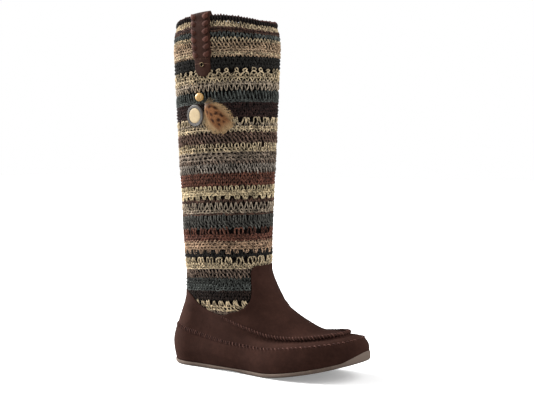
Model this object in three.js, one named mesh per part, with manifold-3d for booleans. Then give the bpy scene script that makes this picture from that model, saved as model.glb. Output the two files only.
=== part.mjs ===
// Sweater boot for the right foot: a moccasin foot of suede on a thin rubber sole, with a crocheted shaft.
// Millimetres. +X runs from the heel to the toe, +Y to the inner side of the foot, +Z up from the floor.
import * as THREE from "three";
import { mergeVertices } from "three/addons/utils/BufferGeometryUtils.js";
import Module from "manifold-3d";

const wasm = await Module();
wasm.setup();
const { Manifold, Mesh: ManifoldMesh } = wasm;

// Driving sizes
const FOOT_LENGTH = 254;
const SHAFT_TOP = 399;
const SOLE_EDGE = 4.6;
const SOLE_LIP = 2.4;
const SOLE_ROUNDING = 1.6;
const TOE_SPRING = 22.5;
const SPRING_POWER = 1.4;
const BUMPER_RISE = 7;
const BUMPER_POWER = 1.3;
const ARCH_RISE = 1.5;
const HEEL_ROLL = 2.5;
const SEAT_GAP = 0.3;
const SUEDE = 2;
const WRAP = 1.6;
const KNIT = 3;
const INSOLE = 3;
const SEAM_GAP = 0.4;

// Stations along the foot as shares of its length.
const HEEL_ROLL_AT = 0.08;
const HEEL_AT = 0.14;
const ARCH_FROM = 0.27;
const ARCH_TO = 0.49;
const WAIST_AT = 0.42;
const ROLL_AT = 0.56;
const BALL_AT = 0.7;
const BUMPER_AT = 0.93;
const HEEL_CAP = 0.13;
const TOE_CAP = 0.2;
const TOE_TAPER = 0.1;

// Girth lines of the boot's outer surface, from the sole's edge up to the collar. back and front are where
// a line crosses the middle of the heel and of the toe or instep. heel, waist and ball are half widths at
// those stations. The z columns are heights there, above the curve of the toe. round is 0 for a foot's shape
// and 1 for an ellipse.
const SEAT = SOLE_EDGE + SEAT_GAP;
const GIRTH_COLUMNS = [
  "name", "back", "front", "heel", "waist", "ball", "zBack", "zWaist", "zBall", "zFront", "round",
];
const GIRTHS = [
  ["feather_line", 4.5, 250.5, 29, 31.5, 42.5, SEAT, SEAT, SEAT, SEAT, 0],
  ["bulge", 2, 249.5, 32, 34, 45, 25, 19, 18, 14, 0],
  ["lower_seam", 6, 244.5, 31, 33.5, 43.5, 48, 33, 32, 26, 0],
  ["ledge", 11, 238.5, 30.5, 33.5, 40, 62, 42.5, 35.5, 29.8, 0],
  ["apron_foot", 15.5, 231, 30.5, 34.3, 33.5, 74, 50.5, 38, 32.3, 0.05],
  ["apron", 18, 228, 30.5, 35, 32, 84, 57, 42.3, 34.6, 0.1],
  ["vamp", 19.3, 205, 32, 36, 31, 92, 70, 52, 39.3, 0.35],
  ["instep", 19.6, 178, 33, 37, 31, 99, 80, 65, 53.6, 0.6],
  ["throat", 19.6, 154, 34, 38, 33, 106, 92, 82, 71.5, 0.85],
  ["bend", 19.3, 139, 35, 38.5, 34, 113, 104, 99, 92, 1],
  ["tab", 18.6, 128, 35, 39.5, 35, 121, 121, 121, 121, 1],
  ["ankle", 17, 127.5, 35, 40.5, 35, 150, 150, 150, 150, 1],
  ["calf", 12.5, 131.5, 35, 44.5, 35, 235, 235, 235, 235, 1],
  ["upper_calf", 8.5, 135.5, 35, 48.5, 35, 325, 325, 325, 325, 1],
  ["shoulder", 6.5, 138, 35, 51, 35, 382, 385, 384.6, 381.5, 1],
  ["collar", 8.5, 135.5, 35, 49, 35, 393.5, SHAFT_TOP, 398.2, 392.5, 1],
].map((row) => Object.fromEntries(GIRTH_COLUMNS.map((column, index) => [column, row[index]])));
const LINE = Object.fromEntries(GIRTHS.map((row, index) => [row.name, index]));
const LAST_LINE = GIRTHS.length - 1;

// How far the foot's middle swings off the straight line from heel to toe: outwards at the waist and inwards
// at the toe.
const SWING = [
  { at: 0, y: 0 },
  { at: HEEL_AT, y: 0 },
  { at: WAIST_AT, y: -3.5 },
  { at: BALL_AT, y: -2 },
  { at: 1, y: 5 },
];

// Where suede gives way to knit, by turns away from the middle of the toe: round the vamp's tab in front,
// lowest on the side, and along the top of the heel counter behind.
const SUEDE_TOP = [
  { turn: 0, level: 10.02 },
  { turn: 0.062, level: 10.02 },
  { turn: 0.084, level: 9.96 },
  { turn: 0.096, level: 9.8 },
  { turn: 0.106, level: 9.48 },
  { turn: 0.132, level: 8.67 },
  { turn: 0.148, level: 8.27 },
  { turn: 0.172, level: 7.85 },
  { turn: 0.222, level: 7.06 },
  { turn: 0.274, level: 5.85 },
  { turn: 0.3, level: 5.27 },
  { turn: 0.318, level: 5 },
  { turn: 0.338, level: 4.86 },
  { turn: 0.358, level: 4.94 },
  { turn: 0.376, level: 5.2 },
  { turn: 0.39, level: 5.58 },
  { turn: 0.408, level: 5.74 },
  { turn: 0.44, level: 5.8 },
  { turn: 0.5, level: 5.9 },
];

// Columns of the walls round half of the boot, closest where the tab's edge turns.
const HALF_COLUMNS = [
  { from: 0, to: 0.06, spans: 4 },
  { from: 0.06, to: 0.13, spans: 6 },
  { from: 0.13, to: 0.34, spans: 12 },
  { from: 0.34, to: 0.42, spans: 5 },
  { from: 0.42, to: 0.5, spans: 4 },
];

// Smooth curve through (at, value) pairs that never overshoots them.
function easedCurve(at, value) {
  const rise = at.slice(1).map((x, i) => (value[i + 1] - value[i]) / (x - at[i]));
  const slope = at.map((_, i) => {
    const before = rise[i - 1] ?? rise[i];
    const after = rise[i] ?? before;
    return before * after <= 0 ? 0 : (2 * before * after) / (before + after);
  });
  return (x) => {
    const clamped = THREE.MathUtils.clamp(x, at[0], at.at(-1));
    const i = Math.min(at.findLastIndex((a) => a <= clamped), at.length - 2);
    const width = at[i + 1] - at[i];
    const t = (clamped - at[i]) / width;
    const bend = t * t * (3 - 2 * t);
    const leave = t * (1 - t) * (1 - t) * width;
    const arrive = t * t * (t - 1) * width;
    return value[i] + (value[i + 1] - value[i]) * bend + slope[i] * leave + slope[i + 1] * arrive;
  };
}

const columnOf = (rows, name) => rows.map((row) => row[name]);
const tableCurve = (rows, at, value) => easedCurve(columnOf(rows, at), columnOf(rows, value));
const evenly = (from, to, spans) => (
  Array.from({ length: spans + 1 }, (_, i) => from + ((to - from) * i) / spans)
);
const swing = tableCurve(SWING, "at", "y");
const girthCurves = GIRTH_COLUMNS.slice(1).map((column) => [
  column,
  easedCurve(GIRTHS.map((_, index) => index), columnOf(GIRTHS, column)),
]);

// A girth line between the rows of the table: level 1.5 lies halfway from the second row to the third.
function girthAt(level) {
  return Object.fromEntries(girthCurves.map(([column, curve]) => [column, curve(level)]));
}

// Heights of the sole's underside and top along the foot.
const pastStation = (x, station) => Math.max(0, (x / FOOT_LENGTH - station) / (1 - station));
const toeSpring = (x) => TOE_SPRING * pastStation(x, ROLL_AT) ** SPRING_POWER;
const bumper = (x) => BUMPER_RISE * pastStation(x, BUMPER_AT) ** BUMPER_POWER;
const soleTop = (x) => SOLE_EDGE + toeSpring(x) + bumper(x);
function soleBottom(x) {
  const along = x / FOOT_LENGTH;
  const heel = HEEL_ROLL * Math.max(0, 1 - along / HEEL_ROLL_AT) ** 2;
  const arch = THREE.MathUtils.clamp((along - ARCH_FROM) / (ARCH_TO - ARCH_FROM), 0, 1);
  return toeSpring(x) + heel + ARCH_RISE * Math.sin(Math.PI * arch) ** 2;
}

// Share of a quarter ellipse's height at a share of its run.
const quarterRound = (share) => Math.sqrt(Math.max(0, 1 - (1 - Math.min(share, 1)) ** 2));

// The form's point at a turn round the boot: 0 at the toe, a quarter at the outer side, a half at the heel.
// The bumper's climb dies out at the lower seam.
function formPoint(turn, level) {
  const girth = girthAt(level);
  const angle = turn * 2 * Math.PI;
  const at = (1 + Math.cos(angle)) / 2;
  const side = -Math.sign(Math.sin(angle));
  const widths = easedCurve([0, HEEL_AT, WAIST_AT, BALL_AT, 1], [
    girth.heel, girth.heel, girth.waist, girth.ball, girth.ball * (1 - TOE_TAPER),
  ]);
  const ends = quarterRound(at / HEEL_CAP) * quarterRound((1 - at) / TOE_CAP);
  const foot = swing(at) + side * widths(at) * ends;
  const ellipse = -girth.waist * Math.sin(angle);
  const heights = easedCurve([0, WAIST_AT, BALL_AT, 1], [
    girth.zBack, girth.zWaist, girth.zBall, girth.zFront,
  ]);
  const x = THREE.MathUtils.lerp(girth.back, girth.front, at);
  const y = THREE.MathUtils.lerp(foot, ellipse, girth.round);
  const climb = bumper(x) * Math.max(0, 1 - level / LINE.lower_seam);
  return new THREE.Vector3(x, y, heights(at) + toeSpring(x) + climb);
}

// Steps of the form along the turn and up the levels, each for one whole turn or level.
const STEP = 1e-3;
function alongForm(turn, level) {
  return formPoint(turn + STEP, level).sub(formPoint(turn - STEP, level)).divideScalar(2 * STEP);
}
function upForm(turn, level) {
  const low = Math.max(level - STEP, 0);
  const high = Math.min(level + STEP, LAST_LINE);
  return formPoint(turn, high).sub(formPoint(turn, low)).divideScalar(high - low);
}
const formNormal = (turn, level) => upForm(turn, level).cross(alongForm(turn, level)).normalize();

// A point at a distance outside (or, below zero, inside) the form. The lowest line stays level with the
// sole's top.
function offsetPoint(turn, level, distance) {
  const point = formPoint(turn, level).addScaledVector(formNormal(turn, level), distance);
  if (level === 0) point.z = soleTop(point.x) + SEAT_GAP;
  return point;
}

// The level of a height in the middle of the shaft's outer side.
const OUTER_SIDE = 0.25;
const LEVEL_HALVINGS = 30;
function shaftLevel(z) {
  let [low, high] = [LINE.tab, LAST_LINE];
  for (let i = 0; i < LEVEL_HALVINGS; i++) {
    const middle = (low + high) / 2;
    if (formPoint(OUTER_SIDE, middle).z < z) low = middle;
    else high = middle;
  }
  return low;
}

// The turn of the shaft's outer side at a distance x from the heel, at a level.
function shaftTurn(x, level) {
  const { back, front } = girthAt(level);
  return Math.acos((2 * (x - back)) / (front - back) - 1) / (2 * Math.PI);
}

// A point at a distance outside the shaft's outer side. Above the collar the wall carries straight on up.
function shaftPoint(x, z, distance) {
  const level = shaftLevel(Math.min(z, SHAFT_TOP));
  const point = offsetPoint(shaftTurn(x, level), level, distance);
  point.z += Math.max(0, z - SHAFT_TOP);
  return point;
}

// Solid from a list of vertices and triangles, turned to face outwards.
const MERGE = 1e-3;
function closedGeometry(points, triangles) {
  const position = new THREE.BufferAttribute(new Float32Array(points.flatMap((p) => [p.x, p.y, p.z])), 3);
  const loose = new THREE.BufferGeometry().setAttribute("position", position).setIndex(triangles);
  const geometry = mergeVertices(loose, MERGE);
  const { position: merged } = geometry.attributes;
  const corner = (i) => new THREE.Vector3().fromBufferAttribute(merged, geometry.index.getX(i));
  let volume = 0;
  const kept = [];
  for (let i = 0; i < geometry.index.count; i += 3) {
    const [a, b, c] = [0, 1, 2].map((k) => geometry.index.getX(i + k));
    if (a === b || b === c || a === c) continue;
    volume += corner(i).dot(corner(i + 1).cross(corner(i + 2)));
    kept.push([a, b, c]);
  }
  geometry.setIndex(kept.flatMap(([a, b, c]) => (volume > 0 ? [a, b, c] : [a, c, b])));
  return geometry;
}

// Wall between two grids of points, rows by columns. A ring's last column joins its first, and other walls
// get ends.
function wall(outer, inner, isRing) {
  const rows = outer.length;
  const columns = outer[0].length;
  const points = [...outer.flat(), ...inner.flat()];
  const out = (i, j) => i * columns + (j % columns);
  const into = (i, j) => rows * columns + out(i, j);
  const triangles = [];
  const quad = (a, b, c, d) => triangles.push(a, b, c, a, c, d);
  const spans = isRing ? columns : columns - 1;
  for (let j = 0; j < spans; j++) {
    for (let i = 0; i < rows - 1; i++) {
      quad(out(i, j), out(i + 1, j), out(i + 1, j + 1), out(i, j + 1));
      quad(into(i, j), into(i, j + 1), into(i + 1, j + 1), into(i + 1, j));
    }
    quad(out(0, j), out(0, j + 1), into(0, j + 1), into(0, j));
    quad(out(rows - 1, j), into(rows - 1, j), into(rows - 1, j + 1), out(rows - 1, j + 1));
  }
  if (!isRing) {
    const last = columns - 1;
    for (let i = 0; i < rows - 1; i++) {
      quad(out(i, 0), into(i, 0), into(i + 1, 0), out(i + 1, 0));
      quad(out(i, last), out(i + 1, last), into(i + 1, last), into(i, last));
    }
  }
  return closedGeometry(points, triangles);
}

const halfTurns = [0, ...HALF_COLUMNS.flatMap((row) => evenly(row.from, row.to, row.spans).slice(1))];
const turns = [...halfTurns, ...halfTurns.slice(1, -1).reverse().map((turn) => 1 - turn)];

// Ring wall cut from the form: levelsAt gives the levels of one column, from its lower edge to its upper one.
function ringWall(levelsAt, outside, inside) {
  const columns = turns.map((turn) => levelsAt(turn).map((level) => [
    offsetPoint(turn, level, outside), offsetPoint(turn, level, inside),
  ]));
  const grid = (face) => columns[0].map((_, i) => columns.map((column) => column[i][face]));
  return wall(grid(0), grid(1), true);
}

// Slab closed over a stack of outlines, from the bottom one to the top one. Its two ends are strips across
// the foot.
function slab(outlines) {
  const count = turns.length;
  const half = count / 2;
  const triangles = [];
  const quad = (a, b, c, d) => triangles.push(a, b, c, a, c, d);
  for (let row = 0; row < outlines.length - 1; row++) {
    for (let j = 0; j < count; j++) {
      const [here, next] = [row * count + j, row * count + ((j + 1) % count)];
      quad(here, here + count, next + count, next);
    }
  }
  const top = (outlines.length - 1) * count;
  for (let j = 0; j < half; j++) {
    const [a, b, c, d] = [j, j + 1, count - j - 1, (count - j) % count];
    quad(a, b, c, d);
    quad(top + d, top + c, top + b, top + a);
  }
  return closedGeometry(outlines.flat(), triangles);
}

// Ring of a closed section: sectionAt gives one column's points in order.
function sectionRing(columnTurns, sectionAt) {
  const columns = columnTurns.map(sectionAt);
  const size = columns[0].length;
  const triangles = [];
  columns.forEach((_, j) => {
    const next = (j + 1) % columns.length;
    for (let i = 0; i < size; i++) {
      const after = (i + 1) % size;
      triangles.push(j * size + i, next * size + i, next * size + after);
      triangles.push(j * size + i, next * size + after, j * size + after);
    }
  });
  return closedGeometry(columns.flat(), triangles);
}

// Turned solid: a closed profile of (radius, height) pairs spun about +Z.
function turned(profile, segments) {
  return sectionRing(evenly(0, 1, segments).slice(0, -1), (share) => profile.map(([radius, height]) => {
    const angle = share * 2 * Math.PI;
    return new THREE.Vector3(radius * Math.cos(angle), radius * Math.sin(angle), height);
  }));
}

// Stands a small solid on the shaft's outer side, its +Z pointing away from the shaft and its +Y up.
function onShaft(geometry, x, z, distance) {
  const level = shaftLevel(z);
  const normal = formNormal(shaftTurn(x, level), level);
  const right = new THREE.Vector3(0, 0, 1).cross(normal).normalize();
  const up = normal.clone().cross(right);
  const place = new THREE.Matrix4().makeBasis(right, up, normal).setPosition(shaftPoint(x, z, distance));
  return geometry.applyMatrix4(place);
}

function toManifold(geometry) {
  return new Manifold(new ManifoldMesh({
    numProp: 3,
    vertProperties: new Float32Array(geometry.attributes.position.array),
    triVerts: new Uint32Array(geometry.index.array),
  }));
}

function fromManifold(solid) {
  const mesh = solid.getMesh();
  const position = new THREE.BufferAttribute(new Float32Array(mesh.vertProperties), 3);
  return new THREE.BufferGeometry().setAttribute("position", position).setIndex([...mesh.triVerts]);
}

// Outsole: a thin rubber sole with a rounded lower edge, a low arch and a bumper that climbs at the toe.
function soleOutline(distance, heightAt) {
  return turns.map((turn) => {
    const outward = formNormal(turn, 0).setZ(0).normalize();
    const point = formPoint(turn, 0).addScaledVector(outward, distance);
    return point.setZ(heightAt(point.x));
  });
}
const SOLE_BELLY = 0.3;
const outsole = slab([
  soleOutline(SOLE_LIP - SOLE_ROUNDING, soleBottom),
  soleOutline(SOLE_LIP + SOLE_BELLY, (x) => soleBottom(x) + SOLE_ROUNDING),
  soleOutline(SOLE_LIP, soleTop),
]);

// Insole: the footbed on the sole, inside the upper.
const INSOLE_GAP = 1;
const INSOLE_INSET = SUEDE + INSOLE_GAP;
const insole = slab([
  soleOutline(-INSOLE_INSET, (x) => soleTop(x) + SEAT_GAP),
  soleOutline(-INSOLE_INSET, (x) => soleTop(x) + SEAT_GAP + INSOLE),
]);

// The suede's upper edge, and the knit's lower edge one seam's width above it.
const suedeTopCurve = tableCurve(SUEDE_TOP, "turn", "level");
const suedeTop = (turn) => suedeTopCurve(Math.abs(turn - Math.round(turn)));
function knitBottom(turn) {
  const level = suedeTop(turn);
  const height = upForm(turn, level).length();
  const climb = ((suedeTop(turn + STEP) - suedeTop(turn - STEP)) / (2 * STEP)) * height;
  const slope = climb / alongForm(turn, level).length();
  return level + (SEAM_GAP * Math.hypot(1, slope)) / height;
}

// Upper: the suede foot with its mudguard, heel counter and vamp, open underneath and at the top. One row of
// points follows the apron seam, and dips with the suede's edge behind it.
const RIM = 0.25;
const apronRow = (turn) => Math.min(LINE.apron, suedeTop(turn) - RIM);
const WRAP_SPANS = 3;
const LEDGE_SPANS = 3;
const VAMP_SPANS = 6;
const upper = ringWall(
  (turn) => [
    ...evenly(0, LINE.lower_seam, WRAP_SPANS),
    ...evenly(LINE.lower_seam, apronRow(turn), LEDGE_SPANS).slice(1),
    ...evenly(apronRow(turn), suedeTop(turn), VAMP_SPANS).slice(1),
  ],
  0,
  -SUEDE,
);

// Side wrap: the suede band from the sole to the lower whipped seam, laid on the upper.
const sideWrap = ringWall(() => evenly(0, LINE.lower_seam, WRAP_SPANS), SEAT_GAP + WRAP, SEAT_GAP);

// Apron seam: the gathered ridge round the vamp's plug, highest at the toe and running out on both sides.
const APRON_END = 0.29;
const APRON_ON_UPPER = 0.6;
const APRON_HALF = 0.2;
const APRON_EDGE = 0.6;
const APRON_SIDE = 1;
const APRON_TOE = 2;
const APRON_DROP = 2;
const APRON_RUN_OUT = 8;
const sideTurns = halfTurns.filter((turn) => turn > 0 && turn < APRON_END);
const apronTurns = [-APRON_END, ...sideTurns.map((turn) => -turn).reverse(), 0, ...sideTurns, APRON_END];
function apronHeight(turn) {
  const share = Math.abs(turn) / APRON_END;
  const height = THREE.MathUtils.lerp(APRON_TOE, APRON_SIDE, Math.min(1, APRON_DROP * share * share));
  return height * (1 - share ** APRON_RUN_OUT) + APRON_EDGE;
}
const APRON_ROWS = [
  { level: LINE.apron - APRON_HALF, share: 0 },
  { level: LINE.apron, share: 1 },
  { level: LINE.apron + APRON_HALF, share: 0 },
];
const apronGrid = (heightAt) => APRON_ROWS.map((row) => apronTurns.map((turn) => (
  offsetPoint(turn, row.level, APRON_ON_UPPER + heightAt(turn, row.share))
)));
const apronSeam = wall(
  apronGrid((turn, share) => THREE.MathUtils.lerp(APRON_EDGE, apronHeight(turn), share)),
  apronGrid(() => 0),
  false,
);

// Shaft: the crocheted tube above the suede.
const TAB_CLEARANCE = 0.7;
const ABOVE_TAB = LINE.tab + TAB_CLEARANCE;
const LOW_KNIT_SPANS = 4;
const LEG_SPANS = 3;
const SHOULDER_SPANS = 4;
const shaft = ringWall(
  (turn) => [
    ...evenly(knitBottom(turn), ABOVE_TAB, LOW_KNIT_SPANS),
    ...evenly(ABOVE_TAB, LINE.upper_calf, LEG_SPANS).slice(1),
    ...evenly(LINE.upper_calf, LAST_LINE, SHOULDER_SPANS).slice(1),
  ],
  0,
  -KNIT,
);

// Collar edge: the rounded edging on the shaft's top, as a section of distances out of the wall and heights.
const COLLAR_SECTION = [
  { out: 0.4, rise: SEAT_GAP },
  { out: 0.9, rise: 3 },
  { out: 0, rise: 5.2 },
  { out: -1.5, rise: 6 },
  { out: -3, rise: 5.2 },
  { out: -3.9, rise: 3 },
  { out: -3.4, rise: SEAT_GAP },
];
const collarEdge = sectionRing(turns, (turn) => {
  const outward = formNormal(turn, LAST_LINE).setZ(0).normalize();
  const base = formPoint(turn, LAST_LINE);
  return COLLAR_SECTION.map(({ out, rise }) => (
    base.clone().addScaledVector(outward, out).add(new THREE.Vector3(0, 0, rise))
  ));
});

// Pull strap: a leather strap with a round end, up the outer side, over the collar in a loop and down inside.
// It leans backwards a little on its way up.
const STRAP_X = 74.5;
const STRAP_LEAN = 0.05;
const STRAP_END = 337;
const STRAP_INSIDE_END = 371;
const STRAP_STRAIGHT = 366;
const STRAP_LIFT = 384;
const STRAP_LOOP_FOOT = 397;
const STRAP_HALF_WIDTH = 11.8;
const STRAP_END_HALF = 10.2;
const STRAP = 2.2;
const STRAP_ON_KNIT = 0.5;
const STRAP_SPANS = 4;
const LOOP_CENTRE = { out: -1.5, z: 404.6 };
const LOOP_RADIUS = 2.8;
const LOOP_SLANT = 1.4;
const END_SPANS = 6;
const LOOP_SPANS = 8;
const strapEnd = evenly(0, Math.PI / 2, END_SPANS).map((angle) => ({
  out: STRAP_ON_KNIT,
  z: STRAP_END + STRAP_END_HALF * (1 - Math.cos(angle)),
  half: STRAP_END_HALF * Math.sin(angle),
  away: 0,
}));
const strapLeg = (away, legs) => legs.map(([z, out]) => ({ out, z, half: STRAP_HALF_WIDTH, away }));
const strapLoop = evenly(0, Math.PI, LOOP_SPANS).map((angle) => ({
  out: LOOP_CENTRE.out + LOOP_RADIUS * Math.cos(angle),
  z: LOOP_CENTRE.z + LOOP_RADIUS * Math.sin(angle),
  half: STRAP_HALF_WIDTH,
  away: angle,
}));
const STRAP_IN_KNIT = -KNIT - STRAP_ON_KNIT;
const strapPath = [
  ...strapEnd,
  ...strapLeg(0, [
    [STRAP_STRAIGHT, STRAP_ON_KNIT],
    [STRAP_LIFT, STRAP_ON_KNIT],
    [STRAP_LOOP_FOOT, LOOP_CENTRE.out + LOOP_RADIUS],
  ]),
  ...strapLoop,
  ...strapLeg(Math.PI, [
    [STRAP_LOOP_FOOT, LOOP_CENTRE.out - LOOP_RADIUS],
    [STRAP_LIFT, STRAP_IN_KNIT],
    [STRAP_INSIDE_END, STRAP_IN_KNIT],
  ]),
];
const strapX = (z) => STRAP_X - STRAP_LEAN * (z - STRAP_END);
const strapFace = (thickness) => strapPath.map((row) => evenly(-1, 1, STRAP_SPANS).map((side) => {
  const out = row.out + thickness * Math.cos(row.away);
  const z = row.z + thickness * Math.sin(row.away) + LOOP_SLANT * side * Math.max(0, Math.sin(row.away));
  return shaftPoint(strapX(row.z) + side * row.half, z, out);
}));
const pullStrap = wall(strapFace(STRAP), strapFace(0), false);

// Strap eyelet: a small brass ring on the strap's round end.
const EYELET_Z = 350.3;
const EYELET_SEGMENTS = 20;
const EYELET_PROFILE = [[1.5, 0], [2.9, 0], [2.9, 0.5], [2.3, 0.9], [1.5, 0.6]];
const strapEyelet = onShaft(
  turned(EYELET_PROFILE, EYELET_SEGMENTS),
  strapX(EYELET_Z),
  EYELET_Z,
  STRAP_ON_KNIT + STRAP + SEAT_GAP,
);

// Bead: a round wooden bead with an upright bore, hung on the knit below the strap.
const BEAD = { x: 70.5, z: 314, radius: 4.8, bore: 1.1 };
const BEAD_SEGMENTS = 18;
const BEAD_SPANS = 9;
const beadPole = Math.asin(BEAD.bore / BEAD.radius);
const beadProfile = evenly(beadPole, Math.PI - beadPole, BEAD_SPANS).map((angle) => [
  BEAD.radius * Math.sin(angle), -BEAD.radius * Math.cos(angle),
]);
const beadPlace = shaftPoint(BEAD.x, BEAD.z, BEAD.radius + SEAT_GAP);
const bead = turned(beadProfile, BEAD_SEGMENTS).translate(...beadPlace);

// Button: a grey ring with a pale round inlay.
const BUTTON = { x: 61.3, z: 293.2, radius: 12.4, thickness: 2.8, round: 0.7 };
const INLAY = { radius: 8.8, depth: 1.3, gap: 0.15, clearance: 1 };
const BUTTON_SEGMENTS = 32;
const BUTTON_ON_KNIT = 0.5;
function inlayDisc(radius, low, high) {
  return turned([[0, low], [radius, low], [radius, high], [0, high]], BUTTON_SEGMENTS);
}
const buttonBlank = turned([
  [0, 0],
  [BUTTON.radius - BUTTON.round, 0],
  [BUTTON.radius, BUTTON.round],
  [BUTTON.radius, BUTTON.thickness - BUTTON.round],
  [BUTTON.radius - BUTTON.round, BUTTON.thickness],
  [0, BUTTON.thickness],
], BUTTON_SEGMENTS);
const pocketFloor = BUTTON.thickness - INLAY.depth;
const pocket = inlayDisc(INLAY.radius, pocketFloor, BUTTON.thickness + INLAY.clearance);
const buttonRing = onShaft(
  fromManifold(toManifold(buttonBlank).subtract(toManifold(pocket))),
  BUTTON.x,
  BUTTON.z,
  BUTTON_ON_KNIT,
);
const buttonInlay = onShaft(
  inlayDisc(INLAY.radius - INLAY.gap, pocketFloor + INLAY.gap, BUTTON.thickness - INLAY.gap),
  BUTTON.x,
  BUTTON.z,
  BUTTON_ON_KNIT,
);

// Feather: a soft teardrop lying on the knit, with tapering locks fused along its edge.
const FEATHER = { fromX: 75.5, fromZ: 307.5, toX: 101, toZ: 277.5, onKnit: 0.5, edge: 1, crown: 4.6 };
const FEATHER_WIDTH = [
  { at: 0, half: 2, crown: 0.3 },
  { at: 0.12, half: 6, crown: 0.6 },
  { at: 0.35, half: 11.5, crown: 0.95 },
  { at: 0.6, half: 13.2, crown: 1 },
  { at: 0.85, half: 10.5, crown: 0.7 },
  { at: 1, half: 6, crown: 0.3 },
];
const LOCKS = [
  { at: 0.02, side: -0.6, lean: 120, length: 6, width: 1.6 },
  { at: 0.03, side: 0.6, lean: 95, length: 5.5, width: 1.6 },
  { at: 0.24, side: -0.75, lean: -45, length: 5, width: 2.6 },
  { at: 0.22, side: 0.9, lean: 46, length: 6, width: 2.6 },
  { at: 0.42, side: -0.92, lean: -40, length: 7, width: 3.2 },
  { at: 0.44, side: 0.92, lean: 38, length: 7, width: 3.2 },
  { at: 0.62, side: -0.92, lean: -30, length: 7.5, width: 3.4 },
  { at: 0.64, side: 0.92, lean: 28, length: 7.5, width: 3.4 },
  { at: 0.82, side: -0.8, lean: -20, length: 7.5, width: 3.4 },
  { at: 0.84, side: 0.8, lean: 18, length: 7.5, width: 3.4 },
  { at: 0.94, side: -0.35, lean: -8, length: 6.5, width: 3.2 },
  { at: 0.94, side: 0.35, lean: 8, length: 6.5, width: 3.2 },
];
const FEATHER_ROWS = 9;
const FEATHER_COLUMNS = 6;
const LOCK_ABOVE = { low: 0.4, high: 1.6 };
const LOCK_ROOT = 3.5;
const LOCK_TAPERS = [1, 0.7, 0.25];
const featherStart = new THREE.Vector2(FEATHER.fromX, FEATHER.fromZ);
const featherRun = new THREE.Vector2(FEATHER.toX, FEATHER.toZ).sub(featherStart);
const featherAlong = featherRun.clone().normalize();
const featherAcross = new THREE.Vector2(-featherAlong.y, featherAlong.x);
const featherHalf = tableCurve(FEATHER_WIDTH, "at", "half");
const featherCrown = tableCurve(FEATHER_WIDTH, "at", "crown");
const featherSpot = (at, side) => featherStart.clone()
  .addScaledVector(featherRun, at)
  .addScaledVector(featherAcross, featherHalf(at) * side);
const featherFace = (distanceAt) => evenly(0, 1, FEATHER_ROWS).map((at) => (
  evenly(-1, 1, FEATHER_COLUMNS).map((side) => {
    const spot = featherSpot(at, side);
    return shaftPoint(spot.x, spot.y, distanceAt(at, side));
  })
));
const featherBody = wall(
  featherFace((at, side) => (
    FEATHER.onKnit + FEATHER.edge + FEATHER.crown * featherCrown(at) * (1 - side * side)
  )),
  featherFace(() => FEATHER.onKnit),
  false,
);
function featherLock({ at, side, lean, length, width }) {
  const direction = featherAlong.clone().rotateAround(new THREE.Vector2(), THREE.MathUtils.degToRad(lean));
  const across = new THREE.Vector2(-direction.y, direction.x);
  const root = featherSpot(at, side).addScaledVector(direction, -LOCK_ROOT);
  const step = (LOCK_ROOT + length) / (LOCK_TAPERS.length - 1);
  const face = (distance) => LOCK_TAPERS.map((taper, row) => [-0.5, 0.5].map((half) => {
    const spot = root.clone()
      .addScaledVector(direction, step * row)
      .addScaledVector(across, width * taper * half);
    return shaftPoint(spot.x, spot.y, distance);
  }));
  return wall(face(FEATHER.onKnit + LOCK_ABOVE.high), face(FEATHER.onKnit + LOCK_ABOVE.low), false);
}
const feather = fromManifold(Manifold.union([featherBody, ...LOCKS.map(featherLock)].map(toManifold)));

const boot = new THREE.Group();
function addPiece(name, geometry, color, roughness, metalness = 0) {
  const material = new THREE.MeshStandardMaterial({ color, roughness, metalness });
  const mesh = new THREE.Mesh(geometry, material);
  mesh.name = name;
  boot.add(mesh);
}

addPiece("outsole", outsole, 0x574a43, 0.8);
addPiece("insole", insole, 0x8a7660, 0.95);
addPiece("upper", upper, 0x36221c, 0.95);
addPiece("side_wrap", sideWrap, 0x3a241e, 0.95);
addPiece("apron_seam", apronSeam, 0x3f2a24, 0.95);
addPiece("shaft", shaft, 0x6a5a48, 1);
addPiece("collar_edge", collarEdge, 0x2c1d19, 0.95);
addPiece("pull_strap", pullStrap, 0x432d26, 0.8);
addPiece("strap_eyelet", strapEyelet, 0xb08d4f, 0.35, 1);
addPiece("bead", bead, 0xbf9c69, 0.5);
addPiece("button_ring", buttonRing, 0x635a51, 0.5);
addPiece("button_inlay", buttonInlay, 0xbaa886, 0.5);
addPiece("feather", feather, 0x7a5538, 0.9);

// The origin moves to the middle of the boot's box, on the floor.
const box = new THREE.Box3().setFromObject(boot);
const middle = box.getCenter(new THREE.Vector3());
boot.children.forEach((mesh) => mesh.geometry.translate(-middle.x, -middle.y, -box.min.z));

export default boot;
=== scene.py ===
# Right sweater boot: suede moccasin foot, rubber sole, striped crochet shaft, laced strap and feather charm.
# Lengths are in millimetres from the heel's end of the sole until a piece becomes a Blender mesh.
import math

import bmesh
import bpy
import numpy as np
from mathutils import Matrix, Vector


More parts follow.
